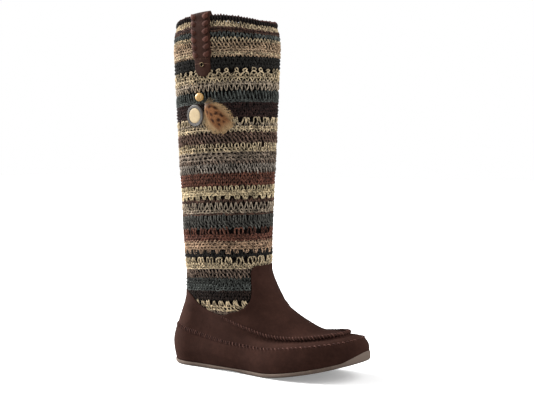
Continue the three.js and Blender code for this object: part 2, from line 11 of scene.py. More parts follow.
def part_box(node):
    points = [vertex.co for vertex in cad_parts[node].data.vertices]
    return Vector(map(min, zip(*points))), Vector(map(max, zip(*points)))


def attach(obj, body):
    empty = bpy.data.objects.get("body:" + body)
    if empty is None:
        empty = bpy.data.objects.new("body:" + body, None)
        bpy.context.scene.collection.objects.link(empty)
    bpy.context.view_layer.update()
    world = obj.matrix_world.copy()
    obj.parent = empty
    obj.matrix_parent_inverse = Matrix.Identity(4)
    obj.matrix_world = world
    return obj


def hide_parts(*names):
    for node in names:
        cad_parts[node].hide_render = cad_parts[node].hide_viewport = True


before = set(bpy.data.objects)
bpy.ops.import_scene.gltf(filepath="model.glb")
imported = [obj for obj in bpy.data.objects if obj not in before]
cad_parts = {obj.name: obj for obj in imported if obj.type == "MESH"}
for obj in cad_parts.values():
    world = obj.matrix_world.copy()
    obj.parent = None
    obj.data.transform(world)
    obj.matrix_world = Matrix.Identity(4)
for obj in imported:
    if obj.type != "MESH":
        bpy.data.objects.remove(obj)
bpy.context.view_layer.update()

MM = 0.001
IMAGE_WIDTH = 534
SENSOR_WIDTH = 36
SUEDE = 2
WRAP = 1.6
KNIT = 3
SEAT_GAP = 0.3
SHAFT_TOP = 399
rng = np.random.default_rng(11)


# The boot's form
FOOT_LENGTH = 254
SOLE_EDGE = 4.6
TOE_SPRING = 22.5
SPRING_POWER = 1.4
BUMPER_RISE = 7
BUMPER_POWER = 1.3
ARCH_RISE = 1.5
HEEL_ROLL = 2.5
HEEL_ROLL_AT, HEEL_AT, ARCH_FROM, ARCH_TO, WAIST_AT = 0.08, 0.14, 0.27, 0.49, 0.42
ROLL_AT, BALL_AT, BUMPER_AT = 0.56, 0.7, 0.93
HEEL_CAP, TOE_CAP, TOE_TAPER = 0.13, 0.2, 0.1
GIRTH_COLUMNS = ["back", "front", "heel", "waist", "ball", "z_back", "z_waist", "z_ball", "z_front", "round"]
GIRTHS = {
    "feather_line": [4.5, 250.5, 29, 31.5, 42.5, 4.9, 4.9, 4.9, 4.9, 0],
    "bulge": [2, 249.5, 32, 34, 45, 25, 19, 18, 14, 0],
    "lower_seam": [6, 244.5, 31, 33.5, 43.5, 48, 33, 32, 26, 0],
    "ledge": [11, 238.5, 30.5, 33.5, 40, 62, 42.5, 35.5, 29.8, 0],
    "apron_foot": [15.5, 231, 30.5, 34.3, 33.5, 74, 50.5, 38, 32.3, 0.05],
    "apron": [18, 228, 30.5, 35, 32, 84, 57, 42.3, 34.6, 0.1],
    "vamp": [19.3, 205, 32, 36, 31, 92, 70, 52, 39.3, 0.35],
    "instep": [19.6, 178, 33, 37, 31, 99, 80, 65, 53.6, 0.6],
    "throat": [19.6, 154, 34, 38, 33, 106, 92, 82, 71.5, 0.85],
    "bend": [19.3, 139, 35, 38.5, 34, 113, 104, 99, 92, 1],
    "tab": [18.6, 128, 35, 39.5, 35, 121, 121, 121, 121, 1],
    "ankle": [17, 127.5, 35, 40.5, 35, 150, 150, 150, 150, 1],
    "calf": [12.5, 131.5, 35, 44.5, 35, 235, 235, 235, 235, 1],
    "upper_calf": [8.5, 135.5, 35, 48.5, 35, 325, 325, 325, 325, 1],
    "shoulder": [6.5, 138, 35, 51, 35, 382, 385, 384.6, 381.5, 1],
    "collar": [8.5, 135.5, 35, 49, 35, 393.5, 399, 398.2, 392.5, 1],
}
GIRTH_TABLE = np.array(list(GIRTHS.values()), float)
LINE = {name: index for index, name in enumerate(GIRTHS)}
LAST_LINE = len(GIRTHS) - 1
SWING_AT = [0, HEEL_AT, WAIST_AT, BALL_AT, 1]
SWING_Y = [0, 0, -3.5, -2, 5]
SUEDE_TOP = [
    (0, 10.02), (0.062, 10.02), (0.084, 9.96), (0.096, 9.8), (0.106, 9.48), (0.132, 8.67), (0.148, 8.27),
    (0.172, 7.85), (0.222, 7.06), (0.274, 5.85), (0.3, 5.27), (0.318, 5.0), (0.338, 4.86), (0.358, 4.94),
    (0.376, 5.2), (0.39, 5.58), (0.408, 5.74), (0.44, 5.8), (0.5, 5.9),
]
SUEDE_TOP_TURNS, SUEDE_TOP_LEVELS = zip(*SUEDE_TOP)


def eased(at, value, x):
    """Smooth curve through (at, value) that never overshoots. value may hold one curve for each x."""
    at = np.asarray(at, float)
    value = np.asarray(value, float)
    x = np.clip(np.asarray(x, float), at[0], at[-1])
    rise = np.diff(value, axis=-1) / np.diff(at)
    before = np.concatenate([rise[..., :1], rise], -1)
    after = np.concatenate([rise, rise[..., -1:]], -1)
    total = np.where(before + after == 0, 1, before + after)
    slope = np.where(before * after <= 0, 0, 2 * before * after / total)
    i = np.clip(np.searchsorted(at, x, side="right") - 1, 0, len(at) - 2)
    width = at[i + 1] - at[i]
    t = (x - at[i]) / width

    def take(curve, index):
        spread = np.broadcast_to(curve, x.shape + curve.shape[-1:])
        return np.take_along_axis(spread, index[..., None], -1)[..., 0]

    low, high = take(value, i), take(value, i + 1)
    leave = take(slope, i) * t * (1 - t) ** 2 * width
    arrive = take(slope, i + 1) * t * t * (t - 1) * width
    return low + (high - low) * t * t * (3 - 2 * t) + leave + arrive


def smooth_step(low, high, x):
    t = np.clip((np.asarray(x, float) - low) / (high - low), 0, 1)
    return t * t * (3 - 2 * t)


def quarter_round(share):
    return np.sqrt(np.maximum(0, 1 - (1 - np.minimum(share, 1)) ** 2))


def past_station(x, station):
    return np.maximum(0, (x / FOOT_LENGTH - station) / (1 - station))


def toe_spring(x):
    return TOE_SPRING * past_station(x, ROLL_AT) ** SPRING_POWER


def bumper(x):
    return BUMPER_RISE * past_station(x, BUMPER_AT) ** BUMPER_POWER


def sole_top(x):
    return SOLE_EDGE + toe_spring(x) + bumper(x)


def sole_bottom(x):
    along = x / FOOT_LENGTH
    heel = HEEL_ROLL * np.maximum(0, 1 - along / HEEL_ROLL_AT) ** 2
    arch = np.clip((along - ARCH_FROM) / (ARCH_TO - ARCH_FROM), 0, 1)
    return toe_spring(x) + heel + ARCH_RISE * np.sin(np.pi * arch) ** 2


def form(turn, level):
    """Point of the boot's outer surface: turn 0 is the toe, a quarter the outer side and a half the heel."""
    turn, level = np.broadcast_arrays(np.asarray(turn, float), np.asarray(level, float))
    lines = np.arange(len(GIRTHS))
    g = {name: eased(lines, GIRTH_TABLE[:, k], level) for k, name in enumerate(GIRTH_COLUMNS)}
    angle = turn * 2 * np.pi
    at = (1 + np.cos(angle)) / 2
    side = -np.sign(np.sin(angle))
    half_widths = np.stack([g["heel"], g["heel"], g["waist"], g["ball"], g["ball"] * (1 - TOE_TAPER)], -1)
    widths = eased(SWING_AT, half_widths, at)
    ends = quarter_round(at / HEEL_CAP) * quarter_round((1 - at) / TOE_CAP)
    foot = eased(SWING_AT, SWING_Y, at) + side * widths * ends
    ellipse = -g["waist"] * np.sin(angle)
    heights = np.stack([g["z_back"], g["z_waist"], g["z_ball"], g["z_front"]], -1)
    x = g["back"] + (g["front"] - g["back"]) * at
    y = foot + (ellipse - foot) * g["round"]
    climb = bumper(x) * np.maximum(0, 1 - level / LINE["lower_seam"])
    return np.stack([x, y, eased([0, WAIST_AT, BALL_AT, 1], heights, at) + toe_spring(x) + climb], -1)


STEP = 1e-3


def unit(vectors):
    return vectors / np.maximum(np.linalg.norm(vectors, axis=-1, keepdims=True), 1e-9)


def run_length(points):
    """Distance of each point along a row from the first."""
    return np.concatenate([[0], np.cumsum(np.linalg.norm(np.diff(points, axis=0), axis=1))])


def along_form(turn, level):
    return (form(np.asarray(turn) + STEP, level) - form(np.asarray(turn) - STEP, level)) / (2 * STEP)


def up_form(turn, level):
    low = np.maximum(np.asarray(level, float) - STEP, 0)
    high = np.minimum(np.asarray(level, float) + STEP, LAST_LINE)
    return (form(turn, high) - form(turn, low)) / (high - low)[..., None]


def form_normal(turn, level):
    return unit(np.cross(up_form(turn, level), along_form(turn, level)))


# Below this level an offset keeps level with the sole's top instead of dipping into it.
FLAT_BELOW = 0.4


def offset(turn, level, distance):
    """Point at a distance outside the form, or inside it below zero."""
    turn, level, distance = np.broadcast_arrays(turn, np.asarray(level, float), np.asarray(distance, float))
    normal = form_normal(turn, level)
    normal[..., 2] *= smooth_step(0, FLAT_BELOW, level)
    return form(turn, level) + unit(normal) * distance[..., None]


# The part's own origin moved to the middle of its box. The heel end of the side wrap gives the step along the
# boot, and the middle of the shaft gives the step across it.
WRAP_ROWS = np.linspace(0, LINE["lower_seam"], 4)
heel_end = offset(np.full(4, 0.5), WRAP_ROWS, SEAT_GAP + WRAP)[:, 0].min()
shaft_low, shaft_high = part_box("shaft")
SHIFT = np.array([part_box("side_wrap")[0].x / MM - heel_end, (shaft_low.y + shaft_high.y) / 2 / MM, 0])


def suede_top(turn):
    return eased(SUEDE_TOP_TURNS, SUEDE_TOP_LEVELS, np.abs(turn - np.round(turn)))


# Levels of heights in the middle of the shaft's outer side.
SHAFT_LEVELS = np.linspace(LINE["tab"], LAST_LINE, 400)
SHAFT_HEIGHTS = form(np.full(400, 0.25), SHAFT_LEVELS)[:, 2]


def shaft_level(z):
    return np.interp(z, SHAFT_HEIGHTS, SHAFT_LEVELS)


def shaft_turn(x, level):
    back, front = (eased(np.arange(len(GIRTHS)), GIRTH_TABLE[:, k], level) for k in (0, 1))
    return np.arccos(np.clip(2 * (x - back) / (front - back) - 1, -1, 1)) / (2 * np.pi)


def shaft_point(x, z, distance):
    """Point at a distance outside the shaft's outer side. Above the collar the wall goes straight on up."""
    level = shaft_level(np.minimum(z, SHAFT_TOP))
    point = offset(shaft_turn(x, level), level, distance)
    point[..., 2] += np.maximum(0, np.asarray(z, float) - SHAFT_TOP)
    return point


def even_turns(level, count, start=0.0, end=1.0):
    """Turns spaced evenly along a girth line, from start up to but not including end."""
    turns = np.linspace(start, end, 2001)
    length = run_length(form(turns, np.full_like(turns, level)))
    return np.interp(np.linspace(0, length[-1], count, endpoint=False), length, turns)


SWELL_WAVES = 6


def wander(turn, level, seed, reach=(2, 9)):
    """Slow uneven swell between about -1 and 1 that closes round the boot."""
    pick = np.random.default_rng(seed)
    total = 0
    for _ in range(SWELL_WAVES):
        round_boot = pick.integers(reach[0], reach[1])
        up_boot = pick.uniform(0.3, 1.4)
        phase = pick.uniform(0, 2 * np.pi)
        total = total + np.sin(2 * np.pi * round_boot * turn + up_boot * np.pi * level + phase)
    return total / math.sqrt(SWELL_WAVES * 2)


# Shader graph helpers
def linear(red, green, blue):
    """Colour in linear light from sRGB bytes."""
    shares = [value / 255 for value in (red, green, blue)]
    return tuple(s / 12.92 if s <= 0.04045 else ((s + 0.055) / 1.055) ** 2.4 for s in shares)


class Socket:
    """An output of a material's node, with arithmetic that adds Math nodes."""

    def __init__(self, paint, output):
        self.paint = paint
        self.output = output

    def maths(self, operation, first, second=None):
        values = {0: first} if second is None else {0: first, 1: second}
        return self.paint.node("ShaderNodeMath", {"operation": operation}, values)

    def __add__(self, other):
        return self.maths("ADD", self, other)

    __radd__ = __add__

    def __mul__(self, other):
        return self.maths("MULTIPLY", self, other)

    __rmul__ = __mul__

    def sine(self):
        return self.maths("SINE", self)


# A wave texture repeats every 0.31 of its scale's inverse.
WAVE_PERIOD = 0.31


class Paint:
    """A material whose Principled shader is fed by nodes."""

    def __init__(self, name, **constants):
        self.material = bpy.data.materials.new(name)
        self.material.use_nodes = True
        self.tree = self.material.node_tree
        self.shader = self.tree.nodes["Principled BSDF"]
        for socket, value in constants.items():
            self.shader.inputs[self.socket_name(socket)].default_value = value

    @staticmethod
    def socket_name(key):
        return key.replace("_", " ").title().replace("Ior", "IOR")

    def node(self, kind, settings=None, inputs=None, output=0):
        made = self.tree.nodes.new(kind)
        for key, value in (settings or {}).items():
            setattr(made, key, value)
        for key, value in (inputs or {}).items():
            self.feed(made.inputs[key], value)
        return Socket(self, made.outputs[output])

    def feed(self, socket, value):
        if isinstance(value, Socket):
            self.tree.links.new(value.output, socket)
        elif socket.type == "RGBA" and len(value) == 3:
            socket.default_value = (*value, 1)
        else:
            socket.default_value = value

    def set(self, **values):
        for socket, value in values.items():
            self.feed(self.shader.inputs[self.socket_name(socket)], value)

    def place(self):
        return self.node("ShaderNodeTexCoord", output="Object")

    def attribute(self, name, output="Color"):
        return self.node("ShaderNodeAttribute", {"attribute_name": name}, output=output)

    def noise(self, size, detail, roughness):
        """Cloudy pattern with features of a size in millimetres."""
        values = {"Vector": self.place(), "Scale": 1 / (size * MM), "Detail": detail, "Roughness": roughness}
        return self.node("ShaderNodeTexNoise", {}, values, "Fac")

    def wave(self, direction, pitch, distortion, detail, detail_scale=1.0):
        """Wavering bands across a direction, a pitch in millimetres apart."""
        values = {"Vector": self.place(), "Scale": WAVE_PERIOD / (pitch * MM), "Distortion": distortion,
                  "Detail": detail, "Detail Scale": detail_scale}
        return self.node("ShaderNodeTexWave", {"bands_direction": direction}, values, "Fac")

    def ramp(self, value, *stops):
        """Colour ramp: stops are (place, colour)."""
        made = self.tree.nodes.new("ShaderNodeValToRGB")
        elements = made.color_ramp.elements
        while len(elements) < len(stops):
            elements.new(0.5)
        for element, (place, colour) in zip(elements, stops):
            element.position = place
            element.color = (*colour, 1)
        self.feed(made.inputs["Fac"], value)
        return Socket(self, made.outputs["Color"])

    def grey_ramp(self, value, *stops):
        """Grey ramp: stops are (place, grey)."""
        return self.ramp(value, *((place, (grey,) * 3) for place, grey in stops))

    def between(self, value, low, high):
        """0 below low, 1 above high, smooth in the middle."""
        settings = {"interpolation_type": "SMOOTHSTEP"}
        values = {"Value": value, "From Min": low, "From Max": high}
        return self.node("ShaderNodeMapRange", settings, values)

    def mix(self, share, first, second, blend="MIX"):
        settings = {"data_type": "RGBA", "blend_type": blend}
        return self.node("ShaderNodeMix", settings, {0: share, 6: first, 7: second}, 2)

    def multiply(self, colour, shade):
        return self.mix(1.0, colour, shade, "MULTIPLY")

    def split(self, vector):
        return [self.node("ShaderNodeSeparateXYZ", {}, {0: vector}, k) for k in range(3)]

    def bump(self, height, depth, normal=None):
        values = {"Height": height, "Distance": depth * MM, "Strength": 1.0}
        if normal:
            values["Normal"] = normal
        return self.node("ShaderNodeBump", {}, values)


# Materials
def suede_finish(name, dark, middle, light):
    """Napped suede: an even ground, slightly lighter where the nap is brushed, with a fine fibre."""
    paint = Paint(name, sheen_weight=0.04, sheen_roughness=0.5, specular_ior_level=0.06)
    paint.set(sheen_tint=linear(150, 100, 84))
    brushed = paint.noise(30, 4, 0.6) * 0.65 + paint.noise(6, 4, 0.6) * 0.35
    fibre = paint.noise(0.6, 3, 0.7)
    colour = paint.ramp(brushed, (0.34, linear(*dark)), (0.5, linear(*middle)), (0.7, linear(*light)))
    speckle = paint.grey_ramp(fibre, (0.3, 0.84), (0.7, 1.15))
    paint.set(base_color=paint.multiply(colour, speckle))
    paint.set(roughness=0.86 + 0.12 * fibre)
    coarse = paint.bump(paint.noise(3.2, 3, 0.6), 0.22)
    paint.set(normal=paint.bump(fibre, 0.18, coarse))
    return paint.material


# The yarn's plies, and how far they turn round it in a millimetre, in radians.
PLIES, PLY_TWIST = 2, 2.1


def yarn_finish():
    """Plied wool: the strand's own tint, flecked, with painted shade between the plies, and loose fibre."""
    paint = Paint("yarn", sheen_weight=0.06, sheen_roughness=0.6, roughness=0.95, specular_ior_level=0.1)
    tint = paint.attribute("tint")
    across, up, _ = paint.split(paint.attribute("ply", "Vector"))
    angle = paint.node("ShaderNodeMath", {"operation": "ARCTAN2"}, {0: up, 1: across})
    plies = (paint.attribute("along", "Fac") * PLY_TWIST + angle * PLIES).sine() * 0.5 + 0.5
    fibre = paint.noise(0.5, 3, 0.7)
    # Painted shade: darker between the plies, mixed with random fibre tone.
    shade = paint.grey_ramp(plies * 0.6 + fibre * 0.4, (0.15, 0.66), (0.75, 1.12))
    fleck = paint.grey_ramp(paint.noise(2.6, 2, 0.5), (0.38, 0.4), (0.52, 1.14))
    paint.set(base_color=paint.multiply(paint.multiply(tint, shade), fleck))
    paint.set(normal=paint.bump(fibre, 0.2, paint.bump(plies, 0.32)))
    return paint.material


def knit_ground_and_shade_finish():
    """Back of the crochet: the row's tint seen between stitches, in small ribs, darker in their valleys as
    painted shade.
    """
    paint = Paint("knit_ground_and_shade", roughness=1.0, specular_ior_level=0.05)
    tint = paint.attribute("tint")
    fleck = paint.noise(1.6, 3, 0.65)
    rows = paint.wave("Z", pitch=4.4, distortion=2.2, detail=2.0, detail_scale=2.5)
    # Painted shade: darker in the ribs' valleys, mixed with random flecks of tone.
    shade = paint.grey_ramp(fleck * 0.6 + rows * 0.4, (0.25, 0.5), (0.75, 1.15))
    paint.set(base_color=paint.multiply(tint, shade))
    paint.set(normal=paint.bump(fleck, 0.5, paint.bump(rows, 0.9)))
    return paint.material


# The rubber turns paler over this stretch towards the toe, in the frame's own millimetres.
PALE_FROM, PALE_ALL = 90, 120


def rubber_finish():
    """Matte brown-grey rubber, scuffed paler in places, with fine crosswise ripples underneath."""
    paint = Paint("sole_rubber", roughness=0.8, specular_ior_level=0.25)
    scuff = paint.noise(14, 5, 0.65)
    grain = paint.noise(0.7, 2, 0.6)
    colour = paint.ramp(scuff * 0.75 + grain * 0.25, (0.3, linear(86, 72, 63)), (0.7, linear(122, 106, 95)))
    _, _, facing = paint.split(paint.node("ShaderNodeNewGeometry", output="Normal"))
    under = paint.between(facing * -1, 0.6, 0.9)
    ripple = paint.wave("X", pitch=5, distortion=3.0, detail=0.0, detail_scale=0.6)
    forward, _, _ = paint.split(paint.place())
    toe = paint.between(forward, PALE_FROM * MM, PALE_ALL * MM)
    colour = paint.mix(toe * 0.6, colour, linear(128, 113, 103))
    paint.set(base_color=paint.mix(under * ripple * 0.35, colour, linear(52, 43, 38)))
    paint.set(roughness=0.72 + 0.2 * grain)
    paint.set(normal=paint.bump(grain, 0.12, paint.bump(ripple * under, 1.2)))
    return paint.material


# Radii between which the painted shade of the eyelet's hole fades into the strap's leather.
HOLE_SHADE_FROM, HOLE_SHADE_TO = 1.6, 2.0


def strap_finish():
    """Brown leather in soft lighter patches, with painted shade inside the eyelet's hole."""
    paint = Paint("strap_leather", roughness=0.7, specular_ior_level=0.08)
    patches = paint.noise(9, 4, 0.6)
    grain = paint.noise(0.9, 3, 0.6)
    colour = paint.ramp(patches * 0.7 + grain * 0.3, (0.32, linear(49, 30, 23)), (0.7, linear(70, 44, 35)))
    eyelet = to_row(shaft_point(strap_x(EYELET_Z), EYELET_Z, ON_KNIT + STRAP))
    ends = {0: paint.place(), 1: eyelet}
    away = paint.node("ShaderNodeVectorMath", {"operation": "DISTANCE"}, ends, "Value")
    # Painted shade: a near-black disc inside the eyelet stands in for the shade of its hole.
    colour = paint.mix(paint.between(away, HOLE_SHADE_FROM * MM, HOLE_SHADE_TO * MM), linear(14, 10, 9), colour)
    paint.set(base_color=colour, roughness=0.6 + 0.3 * grain)
    paint.set(normal=paint.bump(grain, 0.22, paint.bump(patches, 0.6)))
    return paint.material


def tinted_finish(name, size, depth, roughness=0.8):
    """Thread, thong or barb in its own tint, with a fine grain."""
    paint = Paint(name, roughness=roughness, sheen_weight=0.04, specular_ior_level=0.15)
    grain = paint.noise(size, 3, 0.65)
    shade = paint.grey_ramp(grain, (0.28, 0.66), (0.72, 1.22))
    paint.set(base_color=paint.multiply(paint.attribute("tint"), shade))
    paint.set(normal=paint.bump(grain, depth))
    return paint.material


def brass_finish():
    """Aged brass, browned in random patches."""
    paint = Paint("eyelet_brass", metallic=1.0)
    tarnish = paint.noise(1.2, 4, 0.6)
    paint.set(base_color=paint.ramp(tarnish, (0.35, linear(72, 60, 44)), (0.65, linear(142, 122, 92))))
    paint.set(roughness=0.3 + 0.35 * tarnish)
    return paint.material


def wood_finish():
    """Pale turned wood with fine grain lines."""
    paint = Paint("bead_wood", coat_weight=0.4, coat_roughness=0.25)
    grain = paint.wave("X", pitch=1.6, distortion=4.0, detail=3.0)
    tone = grain * 0.5 + paint.noise(4, 3, 0.6) * 0.5
    paint.set(base_color=paint.ramp(tone, (0.2, linear(200, 152, 88)), (0.8, linear(232, 190, 120))))
    paint.set(roughness=0.4 + 0.2 * grain, normal=paint.bump(grain, 0.06))
    return paint.material


def horn_finish(name, dark, light, size):
    """Horn-like disc with soft streaks."""
    paint = Paint(name, coat_weight=0.15, coat_roughness=0.35)
    streak = paint.noise(size, 4, 0.6)
    fine = paint.noise(0.8, 3, 0.6)
    tone = streak * 0.7 + fine * 0.3
    paint.set(base_color=paint.ramp(tone, (0.33, linear(*dark)), (0.67, linear(*light))))
    paint.set(roughness=0.4 + 0.25 * fine, normal=paint.bump(fine, 0.05))
    return paint.material


WEAVE_PITCH = 1.1


def footbed_finish():
    """Plain woven footbed."""
    paint = Paint("footbed", roughness=0.95, sheen_weight=0.1)
    x, y, _ = paint.split(paint.place())
    per_metre = 2 * np.pi / (WEAVE_PITCH * MM)
    weave = (x * per_metre).sine() * (y * per_metre).sine()
    fleck = paint.noise(6, 4, 0.6)
    tone = weave * 0.2 + fleck
    paint.set(base_color=paint.ramp(tone, (0.25, linear(104, 86, 68)), (0.8, linear(160, 138, 112))))
    paint.set(normal=paint.bump(weave, 0.2))
    return paint.material


# Share of light that the floor returns to the boot, and its own glow in the camera's view.
FLOOR_RETURN, FLOOR_GLOW = 0.36, 0.27


def floor_finish():
    """White studio floor that meets the white backdrop without a line and returns less light to the boot."""
    paint = Paint("studio_floor", roughness=1.0, specular_ior_level=0.0, emission_strength=FLOOR_GLOW)
    paint.set(emission_color=(1, 1, 1))
    tone = paint.noise(900, 2, 0.5)
    paint.set(base_color=paint.grey_ramp(tone, (0.3, 0.94), (0.7, 0.95)))
    returned = paint.node("ShaderNodeBsdfDiffuse", {}, {"Color": (FLOOR_RETURN,) * 3})
    seen = paint.node("ShaderNodeLightPath", output="Is Camera Ray")
    white = Socket(paint, paint.shader.outputs[0])
    both = paint.node("ShaderNodeMixShader", {}, {0: seen, 1: returned, 2: white})
    paint.feed(paint.tree.nodes["Material Output"].inputs["Surface"], both)
    return paint.material


# Mesh helpers
def to_row(points):
    return (np.asarray(points) + SHIFT) * MM


def mesh_piece(name, points, faces, material):
    """Closed mesh turned to face outwards. A face that names a point twice becomes a triangle."""
    points = to_row(points)
    faces = np.asarray(faces)
    corners = points[faces]
    fans = [np.einsum("ij,ij->i", corners[:, 0], np.cross(corners[:, k], corners[:, k + 1]))
            for k in range(1, faces.shape[1] - 1)]
    if sum(fan.sum() for fan in fans) < 0:
        faces = faces[:, ::-1]
    mesh = bpy.data.meshes.new(name)
    mesh.from_pydata(points.tolist(), [], [list(dict.fromkeys(face)) for face in faces.tolist()])
    mesh.materials.append(material)
    mesh.shade_smooth()
    mesh.validate()
    piece = bpy.data.objects.new(name, mesh)
    bpy.context.scene.collection.objects.link(piece)
    return piece


def grid_faces(rows, columns, close_rows, close_columns, start=0):
    index = start + np.arange(rows * columns).reshape(rows, columns)
    down = np.roll(index, -1, 0)
    right = np.roll(index, -1, 1)
    both = np.roll(down, -1, 1)
    quads = np.stack([index, down, both, right], -1)
    if not close_rows:
        quads = quads[:-1]
    if not close_columns:
        quads = quads[:, :-1]
    return quads.reshape(-1, 4)


def ring_piece(name, sections, material):
    """Closed ring: sections[turn][place round the section] are points."""
    turns, size = sections.shape[:2]
    return mesh_piece(name, sections.reshape(-1, 3), grid_faces(turns, size, True, True), material)


def capped_tube(name, sections, material):
    """Tube of closed sections whose two ends close to points."""
    rows, size = sections.shape[:2]
    ends = sections[[0, -1]].mean(1)
    points = np.concatenate([sections.reshape(-1, 3), ends])
    faces = [list(face) for face in grid_faces(rows, size, False, True)]
    last = (rows - 1) * size
    for k in range(size):
        after = (k + 1) % size
        faces.append([rows * size, k, after, after])
        faces.append([rows * size + 1, last + after, last + k, last + k])
    return mesh_piece(name, points, faces, material)


def store(piece, name, values, kind="FLOAT_COLOR"):
    """Point attribute on a mesh from an array."""
    attribute = piece.data.attributes.new(name, kind, "POINT")
    field = {"FLOAT_COLOR": "color", "FLOAT_VECTOR": "vector", "FLOAT": "value"}[kind]
    values = np.asarray(values, np.float32)
    if kind == "FLOAT_COLOR" and values.shape[-1] == 3:
        values = np.concatenate([values, np.ones((len(values), 1), np.float32)], 1)
    attribute.data.foreach_set(field, values.ravel())


def set_on(piece, slot, *nodes):
    """Fixes a finished piece to the boot and hides the CAD nodes it stands for."""
    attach(piece, "root")
    if nodes:
        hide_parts(*nodes)


# Strands: yarn, thread, thong and barbs, each swept along a path by one Geometry Nodes tree
def strand_tree():
    tree = bpy.data.node_groups.new("strand_sweep", "GeometryNodeTree")
    face = tree.interface
    face.new_socket("Geometry", in_out="INPUT", socket_type="NodeSocketGeometry")
    face.new_socket("Sides", in_out="INPUT", socket_type="NodeSocketInt")
    face.new_socket("Flatness", in_out="INPUT", socket_type="NodeSocketFloat")
    face.new_socket("Finish", in_out="INPUT", socket_type="NodeSocketMaterial")
    face.new_socket("Geometry", in_out="OUTPUT", socket_type="NodeSocketGeometry")

    def add(kind, settings=None, inputs=None):
        made = tree.nodes.new(kind)
        for key, value in (settings or {}).items():
            setattr(made, key, value)
        for key, value in (inputs or {}).items():
            if isinstance(value, bpy.types.NodeSocket):
                tree.links.new(value, made.inputs[key])
            else:
                made.inputs[key].default_value = value
        return made

    def named(name, kind):
        return add("GeometryNodeInputNamedAttribute", {"data_type": kind}, {"Name": name}).outputs[0]

    given = add("NodeGroupInput").outputs
    path = add("GeometryNodeMeshToCurve", {}, {"Mesh": given["Geometry"]}).outputs[0]
    facing = named("facing", "FLOAT_VECTOR")
    turned = add("GeometryNodeSetCurveNormal", {"mode": "FREE"}, {"Curve": path, "Normal": facing}).outputs[0]
    ring = {"Resolution": given["Sides"], "Radius": 1.0}
    circle = add("GeometryNodeCurvePrimitiveCircle", {}, ring).outputs[0]
    where = add("GeometryNodeInputPosition").outputs[0]
    marked = add("GeometryNodeStoreNamedAttribute", {"data_type": "FLOAT_VECTOR", "domain": "POINT"},
                 {"Geometry": circle, "Name": "ply", "Value": where}).outputs[0]
    squeeze = add("ShaderNodeCombineXYZ", {}, {"X": given["Flatness"], "Y": 1.0, "Z": 1.0}).outputs[0]
    section = add("GeometryNodeTransform", {}, {"Geometry": marked, "Scale": squeeze}).outputs[0]
    size = named("thickness", "FLOAT")
    swept = add("GeometryNodeCurveToMesh", {}, {
        "Curve": turned, "Profile Curve": section, "Scale": size, "Fill Caps": True,
    }).outputs[0]
    soft = add("GeometryNodeSetShadeSmooth", {}, {"Geometry": swept}).outputs[0]
    real = add("GeometryNodeRealizeInstances", {}, {"Geometry": soft}).outputs[0]
    done = add("GeometryNodeSetMaterial", {}, {"Geometry": real, "Material": given["Finish"]}).outputs[0]
    add("NodeGroupOutput", {}, {"Geometry": done})
    return tree


STRAND_TREE = strand_tree()


class Strands:
    """Paths of strands, gathered before they are swept into one mesh."""

    def __init__(self):
        self.points, self.edges, self.thickness = [], [], []
        self.tint, self.facing, self.along = [], [], []
        self.count = 0

    def add(self, points, thickness, tint, facing, closed=False):
        size = len(points)
        index = self.count + np.arange(size)
        following = np.roll(index, -1)
        pairs = np.stack([index, following], 1)
        self.edges.append(pairs if closed else pairs[:-1])
        steps = np.linalg.norm(np.diff(points, axis=0), axis=1)
        self.points.append(points)
        self.thickness.append(np.broadcast_to(thickness, (size,)))
        self.tint.append(np.broadcast_to(tint, (size, 3)))
        self.facing.append(np.broadcast_to(facing, (size, 3)))
        self.along.append(np.concatenate([[0], np.cumsum(steps)]))
        self.count += size

    def sweep(self, name, material, sides=5, flatness=1.0):
        mesh = bpy.data.meshes.new(name + "_paths")
        points = to_row(np.concatenate(self.points))
        mesh.from_pydata(points.tolist(), np.concatenate(self.edges).tolist(), [])
        paths = bpy.data.objects.new(name + "_paths", mesh)
        bpy.context.scene.collection.objects.link(paths)
        store(paths, "thickness", np.concatenate(self.thickness) * MM, "FLOAT")
        store(paths, "along", np.concatenate(self.along), "FLOAT")
        store(paths, "facing", np.concatenate(self.facing), "FLOAT_VECTOR")
        store(paths, "tint", np.concatenate(self.tint))
        modifier = paths.modifiers.new("sweep", "NODES")
        modifier.node_group = STRAND_TREE
        values = {"Sides": sides, "Flatness": flatness, "Finish": material}
        for item in STRAND_TREE.interface.items_tree:
            if item.in_out == "INPUT" and item.name in values:
                modifier[item.identifier] = values[item.name]
        evaluated = paths.evaluated_get(bpy.context.evaluated_depsgraph_get())
        swept = bpy.data.meshes.new_from_object(evaluated)
        swept.name = name
        bpy.data.objects.remove(paths)
        bpy.data.meshes.remove(mesh)
        piece = bpy.data.objects.new(name, swept)
        bpy.context.scene.collection.objects.link(piece)
        return piece


# Crochet shaft: rings for every height of the outer side, with points spaced evenly along their length
RING_LOW, RING_HIGH, RING_STEP = 52, 399, 1.0
RING_SHARES = 720
RING_START = 0.62
RING_TURNS, RING_LEVELS = 481, 500
# Heights from the suede's edge are kept between these.
MARGIN_LOW, MARGIN_HIGH = -20, 40
SAG_TILT = 3.25
SAG_DIP = 1.75
COLLAR_FROM, COLLAR_ALL = 340, 392


def row_rise(turn):
    """Rise of a row over its height on the outer side: it hangs at the heel and climbs in front."""
    forward = np.cos(2 * np.pi * turn)
    return SAG_TILT * forward - SAG_DIP * forward ** 2


